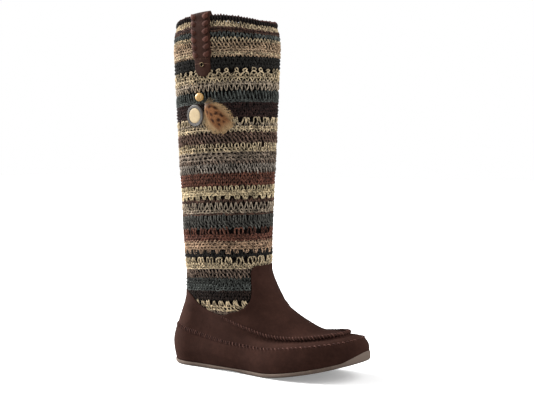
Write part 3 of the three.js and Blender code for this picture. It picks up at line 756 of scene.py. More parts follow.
def knit_rings():
    """Points, outward normals and height above the suede's edge on a grid of heights by shares of a ring."""
    turns = np.linspace(RING_START, RING_START + 1, RING_TURNS)
    levels = np.linspace(LINE["ledge"], LAST_LINE, RING_LEVELS)
    grid_turn, grid_level = np.meshgrid(turns, levels, indexing="ij")
    points = form(grid_turn, grid_level)
    top = suede_top(turns)
    heights = np.arange(RING_LOW, RING_HIGH + RING_STEP / 2, RING_STEP)
    shares = np.linspace(0, 1, RING_SHARES + 1)
    hanging = np.array([
        np.interp(heights + row_rise(turn), points[k, :, 2], levels) for k, turn in enumerate(turns)
    ])
    at_collar = smooth_step(COLLAR_FROM, COLLAR_ALL, heights)
    level_at = hanging + (shaft_level(heights) - hanging) * at_collar
    rings, margins = [], []
    for level in level_at.T:
        ring = form(turns, level)
        climb = np.linalg.norm(up_form(turns, level), axis=1)
        margin = np.clip((level - top) * climb, MARGIN_LOW, MARGIN_HIGH)
        length = run_length(ring)
        place = shares * length[-1]
        rings.append(np.stack([np.interp(place, length, ring[:, k]) for k in range(3)], 1))
        margins.append(np.interp(place, length, margin))
    rings = np.array(rings)
    normals = unit(np.cross(np.gradient(rings, axis=0), np.gradient(rings, axis=1)))
    normals[:, [0, -1]] = unit(normals[:, [0]] + normals[:, [-1]])
    return rings, normals, np.array(margins)


RINGS, RING_NORMALS, RING_MARGINS = knit_rings()


def on_rings(grid, share, z):
    """Value of a ring grid at shares round the shaft and heights."""
    column = np.mod(share, 1) * RING_SHARES
    row = np.clip((z - RING_LOW) / RING_STEP, 0, len(grid) - 1.001)
    j, i = column.astype(int), row.astype(int)
    s, t = column - j, row - i
    if grid.ndim == 3:
        s, t = s[:, None], t[:, None]
    low = grid[i, j] * (1 - s) + grid[i, j + 1] * s
    high = grid[i + 1, j] * (1 - s) + grid[i + 1, j + 1] * s
    return low * (1 - t) + high * t


# One stitch of each kind: shares of its width, shares of its row's height, and millimetres out of the cloth.
# Where a strand turns back it dives into the cloth, so a stitch shows as short strokes.
STITCHES = {
    "vee": [(0, 1.1, -1.2), (0.22, 0.6, 0.35), (0.5, -0.06, -0.9), (0.78, 0.6, 0.35)],
    "post": [(0, 0.0, -0.5), (0.04, 0.42, 0.4), (0.1, 0.92, 0.2), (0.28, 1.05, -0.9), (0.46, 0.92, 0.2),
             (0.52, 0.42, 0.4), (0.58, 0.0, -0.3), (0.8, -0.05, -1.6)],
    "slant": [(0, -0.05, -0.5), (0.14, 0.22, 0.45), (0.46, 0.8, 0.45), (0.62, 1.06, -0.6), (0.8, 0.5, -1.8)],
    "braid": [(0.3, 0.05, 0.1), (0.72, 0.3, 0.5), (0.85, 0.75, 0.3), (0.5, 1.0, 0.0), (0.12, 0.7, -0.8),
              (0.1, 0.35, -1.0)],
    "spike": [(0, 0.0, -0.5), (0.12, 0.5, 0.4), (0.24, 1.04, 0.0), (0.36, 0.5, 0.4), (0.5, 0.0, -0.2),
              (0.62, 0.4, 0.4), (0.72, 0.76, -0.1), (0.84, 0.35, 0.4)],
    "peak": [(0.0, 0.0, -1.0), (0.2, 0.36, 0.4), (0.42, 0.92, 0.4), (0.5, 1.06, -0.4), (0.58, 0.92, 0.4),
             (0.8, 0.36, 0.4)],
    "cluster": [(0.02, 0, -0.4), (0.05, 0.5, 0.4), (0.1, 0.98, 0.2), (0.2, 1.04, -0.3), (0.29, 0.9, 0.3),
                (0.3, 0.45, 0.4), (0.32, 0.0, -0.5), (0.37, 0.45, 0.4), (0.41, 0.95, 0.3), (0.5, 1.04, -0.2),
                (0.6, 0.9, 0.3), (0.64, 0.45, 0.4), (0.66, 0.0, -0.3), (0.84, -0.1, -1.4)],
    "pair": [(0.0, 0.05, -1.0), (0.16, 0.2, 0.3), (0.22, 0.7, 0.4), (0.28, 1.02, -0.2), (0.36, 0.7, 0.3),
             (0.42, 0.25, 0.5), (0.5, 0.6, 0.4), (0.58, 1.02, -0.2), (0.66, 0.7, 0.4), (0.72, 0.2, 0.3),
             (0.86, -0.05, -0.6)],
    "loop": [(0.0, 0.0, -0.6), (0.16, 0.32, 0.4), (0.34, 0.58, 0.5), (0.64, 0.7, 0.0), (0.72, 0.9, 0.3),
             (0.5, 1.06, 0.2), (0.28, 0.9, 0.3), (0.36, 0.68, 0.7), (0.66, 0.55, 0.8), (0.84, 0.3, 0.4)],
    "zigzag": [(0.0, 0.0, -0.8), (0.14, 0.3, 0.4), (0.38, 0.78, 0.4), (0.5, 1.02, -0.5), (0.62, 0.78, 0.4),
               (0.86, 0.3, 0.4)],
    "blocks": [(0.0, 1.0, -0.8), (0.06, 0.5, 0.4), (0.1, 0.02, 0.0), (0.2, 0.0, 0.0), (0.25, 0.6, 0.4),
               (0.32, 0.02, 0.0), (0.42, 0.0, 0.0), (0.48, 0.5, 0.4), (0.54, 1.0, -0.4), (0.78, 1.05, -1.4)],
}

YARNS = {
    "cream": (216, 195, 160), "ecru": (220, 200, 162), "tan": (196, 168, 138), "peach": (196, 163, 134),
    "bone": (184, 167, 146), "taupe": (146, 126, 111), "mauve": (126, 101, 88), "brown": (99, 74, 62),
    "warm_grey": (148, 132, 116), "pale_grey": (162, 151, 139), "heather": (98, 96, 90),
    "slate": (90, 94, 90), "dark_slate": (70, 72, 68), "rust": (120, 78, 63), "dark_rust": (60, 36, 30),
    "maroon": (52, 34, 31), "dark_brown": (44, 33, 28), "charcoal": (42, 40, 37), "black": (20, 18, 17),
}

# Stripes from the collar down, by heights on the outer side. The ground_and_shade colour is what shows
# between the stitches: the row's darker yarn behind, made darker still as painted shade of the gaps.
STRIPE_COLUMNS = ["top", "bottom", "rows", "stitch", "width", "yarn", "ground_and_shade", "radius"]
STRIPES = [dict(zip(STRIPE_COLUMNS, row)) for row in [
    (400.6, 394.2, 1, "zigzag", 4.4, "cream", "dark_brown", 0.68),
    (396.4, 393.0, 1, "braid", 4.4, "cream", "dark_brown", 0.68),
    (393.6, 391.2, 1, "braid", 4.2, "brown", "dark_rust", 0.75),
    (391.6, 389.4, 1, "braid", 4.2, "dark_rust", "maroon", 0.75),
    (389.6, 386.6, 1, "vee", 4.0, "brown", "maroon", 0.78),
    (387.0, 380.4, 1, "vee", 5.2, "slate", "black", 0.9),
    (380.6, 375.4, 1, "zigzag", 4.4, "cream", "black", 0.55),
    (376.0, 369.0, 2, "slant", 4.2, "tan", "black", 0.72),
    (369.4, 362.8, 2, "braid", 5.2, "tan", "black", 0.68),
    (363.2, 360.4, 1, "braid", 4.4, "cream", "dark_brown", 0.68),
    (361.0, 357.4, 1, "zigzag", 4.6, "tan", "black", 0.68),
    (357.2, 344.6, 3, "vee", 4.2, "charcoal", "black", 1.0),
    (343.6, 335.6, 1, "loop", 9.6, "cream", "black", 0.72),
    (338.4, 333.4, 1, "braid", 5.4, "cream", "black", 0.62),
    (334.6, 328.6, 1, "zigzag", 6.2, "cream", "black", 0.64),
    (330.4, 326.2, 1, "braid", 5.2, "bone", "black", 0.7),
    (327.6, 319.6, 1, "peak", 5.8, "bone", "black", 0.7),
    (318.8, 309.2, 1, "slant", 4.2, "slate", "black", 0.8),
    (309.8, 306.8, 1, "braid", 4.6, "slate", "black", 0.78),
    (307.0, 289.4, 5, "vee", 4.2, "maroon", "black", 0.98),
    (289.0, 282.4, 1, "cluster", 12.6, "cream", "black", 0.72),
    (283.0, 278.6, 1, "post", 6.4, "bone", "black", 0.68),
    (279.6, 275.8, 1, "braid", 5.0, "cream", "dark_brown", 0.74),
    (276.6, 272.6, 1, "zigzag", 6.4, "cream", "dark_brown", 0.7),
    (272.8, 260.6, 3, "slant", 4.6, "mauve", "black", 0.88),
    (260.8, 255.4, 1, "post", 7.0, "cream", "dark_brown", 0.72),
    (256.0, 250.8, 1, "braid", 4.8, "cream", "dark_brown", 0.74),
    (251.0, 241.6, 2, "braid", 6.6, "warm_grey", "black", 0.86),
    (241.8, 237.4, 1, "slant", 4.2, "taupe", "black", 0.82),
    (238.0, 232.6, 1, "vee", 4.8, "pale_grey", "black", 0.76),
    (233.0, 227.2, 1, "slant", 4.2, "pale_grey", "black", 0.8),
    (227.2, 212.4, 4, "vee", 4.4, "rust", "maroon", 0.86),
    (212.4, 206.8, 1, "post", 6.4, "ecru", "dark_brown", 0.76),
    (207.4, 201.6, 2, "braid", 5.6, "ecru", "dark_brown", 0.72),
    (202.6, 197.4, 1, "blocks", 10.4, "ecru", "dark_brown", 0.8),
    (197.6, 193.0, 1, "vee", 4.4, "brown", "black", 0.85),
    (193.2, 184.4, 1, "peak", 5.8, "bone", "black", 0.72),
    (185.4, 181.6, 1, "braid", 5.0, "bone", "black", 0.68),
    (181.8, 179.4, 1, "braid", 4.8, "brown", "black", 0.7),
    (179.4, 171.4, 1, "post", 5.8, "heather", "black", 0.92),
    (172.2, 163.6, 2, "slant", 5.0, "heather", "black", 0.9),
    (164.0, 156.2, 1, "cluster", 15.0, "rust", "black", 0.9),
    (156.6, 149.8, 2, "braid", 4.8, "rust", "maroon", 0.8),
    (150.4, 140.2, 3, "braid", 5.0, "peach", "black", 0.7),
    (140.8, 135.8, 1, "blocks", 11.0, "peach", "black", 0.78),
    (138.6, 131.0, 2, "vee", 4.4, "charcoal", "black", 0.95),
    (130.6, 123.6, 1, "cluster", 12.2, "cream", "black", 0.74),
    (124.4, 120.4, 1, "zigzag", 5.2, "cream", "dark_brown", 0.72),
    (121.0, 117.6, 1, "braid", 5.0, "cream", "dark_brown", 0.7),
    (117.8, 107.2, 2, "slant", 4.6, "taupe", "black", 0.74),
    (107.2, 100.0, 2, "vee", 4.6, "dark_slate", "black", 0.85),
    (100.6, 96.0, 1, "vee", 5.0, "slate", "black", 0.82),
    (96.6, 93.2, 1, "braid", 5.0, "slate", "black", 0.78),
    (93.6, 82.4, 3, "vee", 4.6, "dark_brown", "black", 0.98),
    (82.0, 74.8, 1, "pair", 10.2, "cream", "black", 0.72),
    (76.0, 70.8, 1, "braid", 5.0, "cream", "dark_brown", 0.7),
    (71.0, 60.0, 2, "vee", 4.8, "taupe", "dark_brown", 0.8),
]]
YARN_OUT = 0.2
GROUND_OUT = -1.4
UNDER_SUEDE = -1.6
TUCK = 1.9
TUCK_OVER = 6
# Unevenness of hand work: stitch shift, stitch height, loose points and a slow wave of each round.
SWAY, REACH, LOOSE, LOOSE_OUT, ROW_WAVE = 0.06, 0.09, 0.045, 0.22, 0.35
# Wave counts that a round's slow wave may have.
ROW_WAVES = (4, 24)
# Spread of tone from stitch to stitch and along the yarn, and the share of darker stitches.
TONE_SPREAD, FIBRE_SPREAD = 0.17, 0.08
DARK_STITCHES, DARKER = 0.2, 0.66
PATH_STEPS = 2
KNIT_BANDS = 6
FEWEST_STITCHES = 8
SHORTEST_STRETCH = 3
TUCK_FROM = -0.5
SHAFT_MIDDLE = 72
DRAWN_IN, DRAWN_IN_ENDS = 0.4, 2.3
DRAWN_FROM, DRAWN_ALL = 368, 406


def shaft_turn_of(points):
    """Turn of points on the shaft, by their direction from its middle."""
    return np.arctan2(-points[..., 1], points[..., 0] - SHAFT_MIDDLE) / (2 * np.pi)


def drawn_in(turn, z):
    """How far the top of the shaft draws in, most at its front and back."""
    ends = np.cos(2 * np.pi * turn) ** 4
    return (DRAWN_IN + DRAWN_IN_ENDS * ends) * smooth_step(DRAWN_FROM, DRAWN_ALL, z)


def through(points, steps):
    """Closed smooth path through points, with extra steps between them."""
    before, after, next_after = np.roll(points, 1, 0), np.roll(points, -1, 0), np.roll(points, -2, 0)
    parts = []
    for k in range(steps):
        t = k / steps
        parts.append(0.5 * (2 * points + (after - before) * t
                            + (2 * before - 5 * points + 4 * after - next_after) * t * t
                            + (3 * points - before - 3 * after + next_after) * t ** 3))
    return np.stack(parts, 1).reshape(-1, points.shape[1])


def yarn_row(strands, stripe, low, high, phase):
    """One round of stitches between two heights, cut where it goes under the suede."""
    chart = np.array(STITCHES[stripe["stitch"]])
    middle_row = int(np.clip((low + high) / 2 - RING_LOW, 0, len(RINGS) - 1))
    ring_length = np.linalg.norm(np.diff(RINGS[middle_row], axis=0), axis=1).sum()
    count = max(FEWEST_STITCHES, round(ring_length / stripe["width"]))
    size = len(chart)
    number = np.repeat(np.arange(count), size)
    along, up, out = np.tile(chart, (count, 1)).T
    loose = rng.normal(0, 1, (count * size, 3))
    sway = rng.normal(0, SWAY, count)[number]
    reach = 1 + rng.normal(0, REACH, count)[number]
    # A path climbs by one a stitch, so it is smoothed as steps away from a straight climb.
    straight = np.arange(count * size) / size
    flat = np.stack([
        number + phase + along + sway + loose[:, 0] * LOOSE - straight,
        0.5 + (up - 0.5) * reach + loose[:, 1] * LOOSE,
        out + loose[:, 2] * LOOSE_OUT,
    ], 1)
    path = through(flat, PATH_STEPS)
    path[:, 0] += np.arange(len(path)) / (size * PATH_STEPS)
    share = path[:, 0] / count
    z = low + path[:, 1] * (high - low)
    z = z + ROW_WAVE * wander(share, 0.0, int(10 * high), ROW_WAVES)
    margin = on_rings(RING_MARGINS, share, z)
    tuck = TUCK * (1 - smooth_step(TUCK_FROM, TUCK_OVER, margin))
    normal = on_rings(RING_NORMALS, share, z)
    place = on_rings(RINGS, share, z)
    out = YARN_OUT + path[:, 2] - tuck - drawn_in(shaft_turn_of(place), z)
    points = place + normal * out[:, None]
    points[:, 2] += np.maximum(0, z - RING_HIGH)
    tone = 1 + rng.normal(0, TONE_SPREAD, count)
    tone = np.where(rng.uniform(size=count) < DARK_STITCHES, tone * DARKER, tone)
    tone = np.repeat(tone, size * PATH_STEPS) * (1 + rng.normal(0, FIBRE_SPREAD, len(path)))
    tint = np.array(linear(*YARNS[stripe["yarn"]])) * tone[:, None]
    shown = margin > UNDER_SUEDE
    if shown.all():
        strands.add(points, stripe["radius"], tint, normal, closed=True)
        return
    for start in np.flatnonzero(shown & ~np.roll(shown, 1)):
        stretch = (start + np.arange(len(shown))) % len(shown)
        length = np.argmin(shown[stretch]) or len(stretch)
        chosen = stretch[:length]
        if length > SHORTEST_STRETCH:
            strands.add(points[chosen], stripe["radius"], tint[chosen], normal[chosen])


def crochet(material):
    """All rows of the shaft, in a few bands of stripes."""
    rounds = []
    for stripe in STRIPES:
        edges = np.linspace(stripe["top"], stripe["bottom"], stripe["rows"] + 1)
        rounds += [(stripe, edges[k + 1], edges[k], 0.5 * (k % 2)) for k in range(stripe["rows"])]
    size = math.ceil(len(rounds) / KNIT_BANDS)
    pieces = []
    for band in range(KNIT_BANDS):
        strands = Strands()
        for stripe, low, high, phase in rounds[band * size:(band + 1) * size]:
            yarn_row(strands, stripe, low, high, phase)
        pieces.append(strands.sweep(f"crochet_band_{band + 1}", material))
    return pieces


def ground_and_shade_tints(points):
    """Colour of the cloth behind the stitches, by the row a point lies in, dark as painted shade of the gaps
    between stitches.
    """
    turn = shaft_turn_of(points)
    at_collar = smooth_step(COLLAR_FROM, COLLAR_ALL, points[:, 2])
    height = points[:, 2] - row_rise(turn) * (1 - at_collar)
    tops = np.array([stripe["top"] for stripe in STRIPES])
    # Painted shade: these colours, darker than each row's yarn, stand in for the shade between the stitches.
    colours = np.array([linear(*YARNS[stripe["ground_and_shade"]]) for stripe in STRIPES])
    which = np.clip(np.searchsorted(-tops, -height, side="right") - 1, 0, len(tops) - 1)
    return colours[which]


WALL_TURNS = 200
WALL_ROWS = 90
WALL_UNDER_EDGE = 0.1


def knit_wall(material):
    """The cloth behind the stitches, from the suede's edge to the collar, tinted dark as painted shade of the
    gaps.
    """
    turns = even_turns(LINE["calf"], WALL_TURNS)
    lowest = (suede_top(turns) - WALL_UNDER_EDGE)[:, None]
    outer_level = lowest + (LAST_LINE - lowest) * np.linspace(0, 1, WALL_ROWS)
    levels = np.concatenate([outer_level, outer_level[:, ::-1]], 1)
    distances = np.repeat([GROUND_OUT, -KNIT], WALL_ROWS)
    points = offset(turns[:, None], levels, distances)
    piece = ring_piece("knit_wall", points, material)
    store(piece, "tint", ground_and_shade_tints(points.reshape(-1, 3)))
    return piece


# Suede foot
CREASES = [
    # turn and level of both ends, depth, half width in turns-and-levels units
    (0.02, 8.7, 0.1, 8.4, 0.8, 0.16),
    (-0.02, 8.55, -0.1, 8.3, 0.7, 0.16),
    (0.03, 8.2, 0.12, 7.75, 0.6, 0.14),
    (-0.04, 8.1, -0.13, 7.7, 0.6, 0.14),
    (0.0, 7.2, 0.09, 7.0, 0.45, 0.14),
    (0.4, 4.6, 0.47, 4.9, 0.4, 0.16),
]
TURN_TO_LEVEL = 12


def crease_depth(turn, level):
    """How far the listed creases sink the suede."""
    around = turn - np.round(turn)
    total = np.zeros(np.broadcast(turn, level).shape)
    for turn_a, level_a, turn_b, level_b, depth, half in CREASES:
        start = np.array([turn_a * TURN_TO_LEVEL, level_a])
        run = np.array([turn_b * TURN_TO_LEVEL, level_b]) - start
        dx, dy = around * TURN_TO_LEVEL - start[0], level - start[1]
        t = np.clip((dx * run[0] + dy * run[1]) / (run @ run), 0, 1)
        gap = np.hypot(dx - run[0] * t, dy - run[1] * t)
        total = total + depth * np.exp(-(gap / half) ** 2) * np.sin(np.pi * np.clip(t, 0.02, 0.98)) ** 0.5
    return total


APRON_END = 0.29
PLEAT = 4.6
PLEAT_DEPTH, PLEAT_LEAN = 0.55, 2
PLEATS_FADE_FROM = 0.12
# Levels between which the pleats rise from the ledge, and between which they end under the ridge.
PLEATS_RISE, PLEATS_END = (3.4, 4.3), (4.9, 5.1)


def arc_at(level, turn):
    """Distance along a girth line from the toe's middle, below zero on the inner side."""
    turns = np.linspace(-0.5, 0.5, 1601)
    length = run_length(form(turns, np.full_like(turns, float(level))))
    length -= np.interp(0, turns, length)
    return np.interp(turn - np.round(turn), turns, length)


def pleats(turn, level):
    """Small gathers under the apron's ridge, deepest at the toe."""
    around = np.abs(turn - np.round(turn))
    arc = arc_at(LINE["apron_foot"], turn)
    front = 1 - smooth_step(PLEATS_FADE_FROM, APRON_END, around)
    band = smooth_step(*PLEATS_RISE, level) * (1 - smooth_step(*PLEATS_END, level))
    return PLEAT_DEPTH * np.sin(2 * np.pi * arc / PLEAT + PLEAT_LEAN * level) * band * front


LEVEL_ROWS = np.concatenate([np.linspace(0, 1.8, 5), np.linspace(1.9, 3, 10), np.linspace(3.08, 4.5, 22)])
VAMP_ROWS = 52
INNER_ROWS = 16
FOOT_TURNS = 440
# The edge's lap over the knit: its thickness, how far down it fades, and the furthest distance measured.
LAP, LAP_FADE, EDGE_LIMIT = 0.7, 7, 60
FOOT_SWELL, FOOT_SEED = 0.22, 5
# Relief starts between these levels, above the side wrap.
RELIEF_FROM, RELIEF_ALL = 2, 2.4
# The turned top edge: distance out of the form and rise above the edge.
RIM_OUT = np.array([0.55, 0, -0.8, -1.5])
RIM_RISE = np.array([0.25, 0.35, 0.3, 0.15])


def suede_upper(material):
    """The foot from the sole to the knit, with a turned top edge lapped over the knit."""
    turns = even_turns(LINE["ledge"], FOOT_TURNS)
    turn = turns[:, None]
    top = suede_top(turn)
    share = np.linspace(0, 1, VAMP_ROWS + 1)[1:]
    levels = np.concatenate([
        np.broadcast_to(LEVEL_ROWS, (FOOT_TURNS, len(LEVEL_ROWS))),
        LEVEL_ROWS[-1] + (top - LEVEL_ROWS[-1]) * share,
    ], 1)
    climb = np.linalg.norm(up_form(turn, levels), axis=-1)
    below_edge = np.clip((top - levels) * climb, 0, EDGE_LIMIT)
    lap = LAP * (1 - smooth_step(0, LAP_FADE, below_edge))
    swell = FOOT_SWELL * wander(turn, levels, FOOT_SEED)
    relief = lap + swell + pleats(turn, levels) - crease_depth(turn, levels)
    relief = relief * smooth_step(RELIEF_FROM, RELIEF_ALL, levels)
    rim = np.broadcast_to(RIM_OUT, (FOOT_TURNS, len(RIM_OUT)))
    inner_levels = top * np.linspace(1, 0, INNER_ROWS)
    section_levels = np.concatenate([levels, top + RIM_RISE / climb[:, -1:], inner_levels], 1)
    distances = np.concatenate([relief, rim, np.full(inner_levels.shape, -SUEDE)], 1)
    return ring_piece("suede_foot", offset(turn, section_levels, distances), material)


SEAM_REAR_SPACING = 2.6
SEAM_FRONT_SPACING = 5.2
SEAM_CHANGES_AT = 0.285
SEAM_CHANGE_HALF = 0.01


def seam_places():
    """Turns of the lower seam's stitches: close together behind, further apart in front."""
    turns = np.linspace(0, 1, 4001)
    around = np.abs(turns - np.round(turns))
    arc = run_length(form(turns, np.full_like(turns, LINE["lower_seam"])))
    behind = smooth_step(SEAM_CHANGES_AT - SEAM_CHANGE_HALF, SEAM_CHANGES_AT + SEAM_CHANGE_HALF, around)
    spacing = SEAM_FRONT_SPACING + (SEAM_REAR_SPACING - SEAM_FRONT_SPACING) * behind
    counted = np.concatenate([[0], np.cumsum(np.diff(arc) / spacing[1:])])
    whole = np.arange(int(counted[-1]))
    return np.interp(whole * counted[-1] / len(whole), counted, turns)


# Turns between which the wrap's full taper at the toe fades, and at the heel returns, and how much it fades.
TAPER_TOE, TAPER_HEEL, TAPER_FADE = (0.03, 0.1), (0.4, 0.47), 0.65
TAPER_FROM = 1.1


def wrap_taper(turn, level):
    """How much the wrap thins towards its top edge, most at the heel and the toe."""
    around = np.abs(turn - np.round(turn))
    ends = 1 - smooth_step(*TAPER_TOE, around) * (1 - smooth_step(*TAPER_HEEL, around)) * TAPER_FADE
    return ends * smooth_step(TAPER_FROM, LINE["lower_seam"], level)


WRAP_TURNS = 720
WRAP_OUTER = np.concatenate([np.linspace(0, 1.7, 18), np.linspace(1.75, 1.97, 6)])
# The wrap's top edge, by level and distance out, and the levels of its back.
WRAP_RIM_LEVELS, WRAP_RIM_OUT = [2.0, 2.0, 1.98], np.array([1.1, 0.7, 0.35])
WRAP_BACK = np.linspace(1.9, 0, 8)
WRAP_SWELL, WRAP_SEED, WRAP_SWELL_ALL = 0.25, 9, 0.5
# The edge's roll and the pucker at each stitch: depth and the levels over which they come in.
ROLL_DEPTH, ROLL_OVER = 0.5, (1.75, 2)
PUCKER_DEPTH, PUCKER_OVER, PUCKER_HALF = 0.7, (1.6, 1.97), 0.0022


def wrap_rows(levels):
    return np.broadcast_to(levels, (WRAP_TURNS, len(levels)))


def suede_wrap(material):
    """The band from the sole to the lower seam, puckered by its stitches."""
    turns = even_turns(LINE["bulge"], WRAP_TURNS)
    stitched = seam_places()
    gap = np.abs(turns[:, None] - stitched[None])
    nearest = np.minimum(gap, 1 - gap).min(1)
    pucker = PUCKER_DEPTH * np.exp(-(nearest / PUCKER_HALF) ** 2)[:, None]
    levels = wrap_rows(WRAP_OUTER)
    turn = turns[:, None]
    swell = WRAP_SWELL * wander(turn, levels, WRAP_SEED) * smooth_step(0, WRAP_SWELL_ALL, levels)
    roll = -ROLL_DEPTH * smooth_step(*ROLL_OVER, levels) - pucker * smooth_step(*PUCKER_OVER, levels)
    outer = SEAT_GAP + WRAP + swell + roll - wrap_taper(turn, levels)
    rim = WRAP_RIM_OUT * (1 - 0.5 * wrap_taper(turn, float(LINE["lower_seam"])))
    back = wrap_rows(WRAP_BACK)
    section_levels = np.concatenate([levels, wrap_rows(WRAP_RIM_LEVELS), back], 1)
    distances = np.concatenate([outer, rim, np.full(back.shape, SEAT_GAP)], 1)
    return ring_piece("suede_side_wrap", offset(turn, section_levels, distances), material)


# The ridge's height at the sides and the toe, and the least that is left at its ends.
APRON_SIDE, APRON_TOE, APRON_LEAST = 1, 2, 0.6
# The ridge's oval: how far it sinks in, its half width as a base plus a share of its height, and extra rise.
ROPE_SINK, ROPE_HALF, ROPE_SPREAD, ROPE_EXTRA = 0.1, 0.85, 0.45, 0.35
LUMP, LUMP_LEAN = 0.17, 1.3
ROPE_SIDES = 14
ROPE_TURNS = 460


def apron_height(turn):
    share = np.abs(turn) / APRON_END
    height = APRON_TOE + (APRON_SIDE - APRON_TOE) * np.minimum(1, 2 * share ** 2)
    return height * np.maximum(0, 1 - share ** 8) + APRON_LEAST


def apron_ridge(material):
    """The gathered ridge round the vamp's plug: a lumpy roll that sinks into the suede at both ends."""
    turns = np.linspace(-APRON_END, APRON_END, ROPE_TURNS)
    level = np.full(ROPE_TURNS, float(LINE["apron"]))
    middle, normal = form(turns, level), form_normal(turns, level)
    along = unit(along_form(turns, level))
    across = np.cross(normal, along)
    height = apron_height(turns)
    arc = arc_at(LINE["apron"], turns)
    angle = np.linspace(0, 2 * np.pi, ROPE_SIDES, endpoint=False)
    lump = 1 + LUMP * np.sin(2 * np.pi * arc[:, None] / PLEAT + LUMP_LEAN * np.sin(angle)[None])
    half = (ROPE_HALF + ROPE_SPREAD * height)[:, None] * lump
    rise = (height / 2 + ROPE_EXTRA)[:, None] * lump
    points = (middle + normal * (height / 2 - ROPE_SINK)[:, None])[:, None]
    points = points + across[:, None] * (half * np.cos(angle))[..., None]
    points = points + normal[:, None] * (rise * np.sin(angle))[..., None]
    return capped_tube("apron_roll", points, material)


THREAD_TINTS = [linear(88, 57, 49), linear(73, 46, 40), linear(103, 69, 60)]
# One stitch over the lower seam: its levels and distances out.
SEAM_LEVELS = np.array([1.86, 1.9, 1.97, 2.05, 2.12, 2.16])
SEAM_OUT = np.array([1.2, 2.0, 2.05, 1.3, 0.5, -0.2])
# Lean in turns and thread radius of the front and rear stitches, and the spread of their places.
FRONT_STITCH, REAR_STITCH, STITCH_SPREAD = (0.0022, 0.62), (0.0010, 0.45), 0.0003
# Stitches over the apron's ridge: number, last turn, lean, thread radius, and the arch they take over it.
APRON_STITCHES, STITCHED_TO, APRON_LEAN, APRON_THREAD = 88, 0.308, 0.0032, 0.45
ARCH_ANGLES = np.linspace(-0.15, np.pi + 0.15, 9)
ARCH_HALF, ARCH_EXTRA = 1.05, 0.55


def seam_stitches(material):
    """Whip stitches over the lower seam and over the apron's ridge."""
    strands = Strands()
    for k, turn in enumerate(seam_places()):
        in_front = abs(turn - round(turn)) < SEAM_CHANGES_AT
        lean, radius = FRONT_STITCH if in_front else REAR_STITCH
        turns = turn + lean * np.linspace(-1, 1, len(SEAM_LEVELS)) + rng.normal(0, STITCH_SPREAD)
        points = offset(turns, SEAM_LEVELS, SEAM_OUT - wrap_taper(turns, SEAM_LEVELS))
        strands.add(points, radius, THREAD_TINTS[k % 3], form_normal(turns, SEAM_LEVELS))
    places = even_turns(LINE["apron"], APRON_STITCHES, -STITCHED_TO, STITCHED_TO)
    level = np.full(len(ARCH_ANGLES), float(LINE["apron"]))
    sine, cosine = np.sin(ARCH_ANGLES)[:, None], np.cos(ARCH_ANGLES)[:, None]
    for k, turn in enumerate(places):
        height = float(apron_height(np.array(turn)))
        turns = turn + APRON_LEAN * np.linspace(-1, 1, len(ARCH_ANGLES))
        normal, along = form_normal(turns, level), unit(along_form(turns, level))
        across = np.cross(normal, along)
        half, rise = ARCH_HALF + ROPE_SPREAD * height, height / 2 + ARCH_EXTRA
        points = form(turns, level) + normal * (height / 2 - ROPE_SINK + rise * sine)
        points = points + across * (half * cosine)
        facing = unit(across * cosine + normal * sine)
        strands.add(points, APRON_THREAD, THREAD_TINTS[(k + 1) % 3], facing)
    return strands.sweep("seam_stitches", material, sides=6)


# Sole: rows of its edge, by distance out and rise from the bottom, or distance out and drop from the top
SOLE_ROWS = [(0.6, 0.0), (1.4, 0.28), (2.1, 0.8), (2.6, 1.6), (2.75, 2.4)]
SOLE_TOP_ROWS = [(2.7, 0.9), (2.5, 0.25), (2.0, 0.0)]
SOLE_STRIPS = 14
SOLE_HALF_TURNS = 170


def sole_outline(turns, distance):
    normal = form_normal(turns, np.zeros_like(turns))
    normal[:, 2] = 0
    return form(turns, np.zeros_like(turns)) + unit(normal) * distance


def rubber_sole(material):
    """Thin sole with a rounded edge, and faces filled by strips across the foot."""
    half = SOLE_HALF_TURNS
    first = even_turns(0, half, 0, 0.5)
    turns = np.concatenate([first, [0.5], 1 - first[:0:-1]])
    count = len(turns)
    rows = []
    for distance, rise in SOLE_ROWS:
        row = sole_outline(turns, distance)
        row[:, 2] = sole_bottom(row[:, 0]) + rise
        rows.append(row)
    for distance, drop in SOLE_TOP_ROWS:
        row = sole_outline(turns, distance)
        row[:, 2] = sole_top(row[:, 0]) - drop
        rows.append(row)
    points = [np.concatenate(rows)]
    faces = [grid_faces(len(rows), count, False, True)]
    start = len(rows) * count
    for outline, height in ((rows[0], sole_bottom), (rows[-1], sole_top)):
        left = outline[:half + 1]
        right = outline[(-np.arange(half + 1)) % count]
        share = np.linspace(0, 1, SOLE_STRIPS + 1)[None, :, None]
        strip = left[:, None] * (1 - share) + right[:, None] * share
        strip[:, 1:-1, 2] = height(strip[:, 1:-1, 0])
        points.append(strip.reshape(-1, 3))
        quads = grid_faces(half + 1, SOLE_STRIPS + 1, False, False, start)
        faces.append(quads if height is sole_bottom else quads[:, ::-1])
        start += strip.shape[0] * strip.shape[1]
    piece = mesh_piece("rubber_sole", np.concatenate(points), np.concatenate(faces), material)
    weld(piece)
    return piece


# Points this close are joined, in millimetres, and edges this short are taken out, in metres.
WELD_REACH, SHORTEST_EDGE = 0.02, 1e-7


def weld(piece):
    """Joins points that lie together and turns the faces outwards."""
    shape = bmesh.new()
    shape.from_mesh(piece.data)
    bmesh.ops.remove_doubles(shape, verts=shape.verts, dist=WELD_REACH * MM)
    bmesh.ops.dissolve_degenerate(shape, edges=shape.edges, dist=SHORTEST_EDGE)
    bmesh.ops.recalc_face_normals(shape, faces=shape.faces)
    shape.to_mesh(piece.data)
    shape.free()
    piece.data.shade_smooth()


# Collar edging
COLLAR_TURNS = 300
COLLAR_WRAPS = 104
WRAP_STEPS = 14
COLLAR_OUT, COLLAR_RISE = -1.3, 3.9
CORE_OUT, CORE_RISE = 2.1, 3.2
LOOP_HALF, LOOP_RISE = 2.3, 3.4
EDGE_YARN = 1.0
CORE_SIDES = 16
